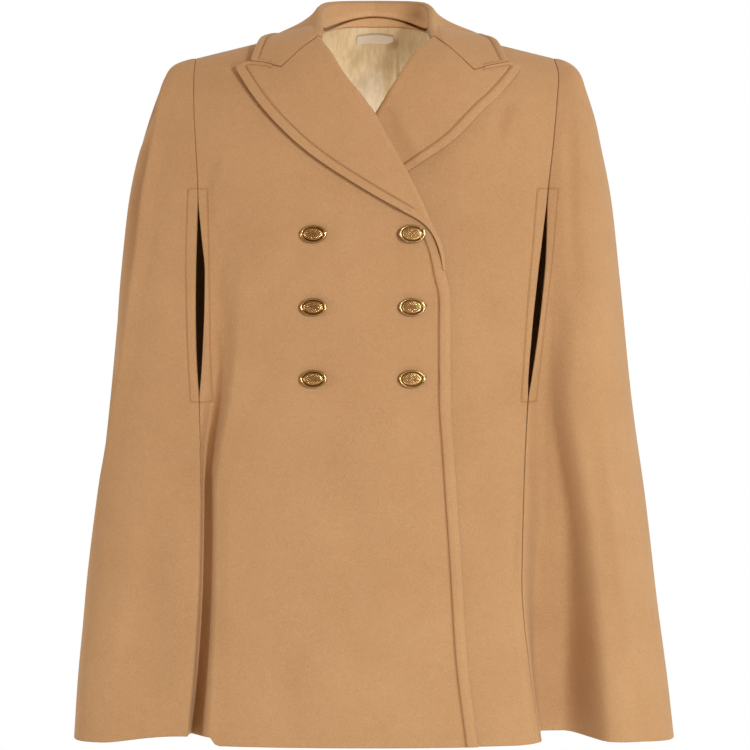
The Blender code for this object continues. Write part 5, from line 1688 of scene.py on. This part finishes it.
# The lamps round the cape, which all point at its middle: their places, their sizes and their powers.
AIM = (0.0, 0.0, -0.35)
LIGHTS = (
    ("key_light", (1.6, -3.2, 0.5), 0.3, 66.0),
    ("front_light", (1.0, -2.5, -0.5), 0.35, 21.5),
    ("left_light", (-3.2, -1.0, -0.4), 0.8, 24.0),
    ("right_light", (3.4, -0.3, -0.3), 0.8, 10.0),
)
LIGHT_COLOUR = (0.91, 1.01, 1.13)
# The small spot inside the neck, which lights the lining: its place, its aim and its power.
NECK_LIGHT = ((0.0, -0.03, -0.17), (0.0, 0.09, 0.01), 1.3)
NECK_LIGHT_ANGLE = math.radians(100)
CAMERA_DISTANCE = 3.6
CAMERA_Z = -0.3752
FRAME_WIDTH = 0.84
SENSOR_WIDTH = 36.0
FLOOR_Z = -1.02
FLOOR_RADIUS = 1.1
FLOOR_CORNERS = 96


def add_lamp(name, kind, place, target, power, **settings):
    """Make a lamp at a place that points at a target."""
    light = bpy.data.lights.new(name, kind)
    light.energy = power
    for setting, value in settings.items():
        setattr(light, setting, value)
    lamp = bpy.data.objects.new(name, light)
    lamp.location = place
    lamp.rotation_euler = (Vector(target) - Vector(place)).to_track_quat("-Z", "Y").to_euler()
    bpy.context.scene.collection.objects.link(lamp)


def build_stage():
    """Make the floor, the lights and the camera."""
    scene = bpy.context.scene
    scene.view_settings.view_transform = "Standard"
    scene.view_settings.look = "None"
    mesh = bpy.data.meshes.new("floor")
    turns = np.arange(FLOOR_CORNERS) * math.tau / FLOOR_CORNERS
    points = [(FLOOR_RADIUS * math.cos(t), FLOOR_RADIUS * math.sin(t), FLOOR_Z) for t in turns]
    mesh.from_pydata(points, [], [list(range(FLOOR_CORNERS))])
    floor = bpy.data.objects.new("floor", mesh)
    material, tree, shader, where = new_material("pale_floor", Roughness=0.85)
    paint(tree, shader, noise(tree, where, 3, 2), (0.84, 0.84, 0.83), (0.88, 0.88, 0.87))
    mesh.materials.append(material)
    scene.collection.objects.link(floor)
    world = bpy.data.worlds.new("studio")
    world.use_nodes = True
    tree = world.node_tree
    around = add_node(tree, "TexCoord", {}).outputs["Generated"]
    x, y, z = add_node(tree, "SeparateXYZ", {0: around}).outputs
    behind = maths(tree, "ADD", maths(tree, "ABSOLUTE", x), y)
    behind = maths(tree, "MULTIPLY_ADD", z, 0.4, behind)
    seen = add_node(tree, "LightPath", {}).outputs["Is Camera Ray"]
    bright = maths(tree, "MAXIMUM", ramp_between(tree, behind, 0.1, 0.95), seen)
    sky = mix_colour(tree, bright, WORLD_FRONT, (1.0, 1.0, 1.0))
    tree.links.new(sky, tree.nodes["Background"].inputs["Color"])
    tree.nodes["Background"].inputs["Strength"].default_value = 1.0
    scene.world = world
    for name, place, size, power in LIGHTS:
        add_lamp(name, "AREA", place, AIM, power, shape="DISK", size=size, color=LIGHT_COLOUR)
    add_lamp("neck_light", "SPOT", *NECK_LIGHT, spot_size=NECK_LIGHT_ANGLE, spot_blend=0.8,
             shadow_soft_size=0.03)
    camera = bpy.data.cameras.new("camera")
    camera.sensor_width = SENSOR_WIDTH
    camera.lens = SENSOR_WIDTH * CAMERA_DISTANCE / FRAME_WIDTH
    eye = bpy.data.objects.new("camera", camera)
    eye.location = (0, -CAMERA_DISTANCE, CAMERA_Z)
    eye.rotation_euler = (math.pi / 2, 0, 0)
    scene.collection.objects.link(eye)
    scene.camera = eye


materials = make_materials()
pieces = build_panels(materials)
gorges = build_lapels(materials)
build_collar(gorges, materials)
build_inside(materials)
surface = build_buttons(pieces["front_right"], materials)
build_buttonholes(surface, materials)
build_stage()
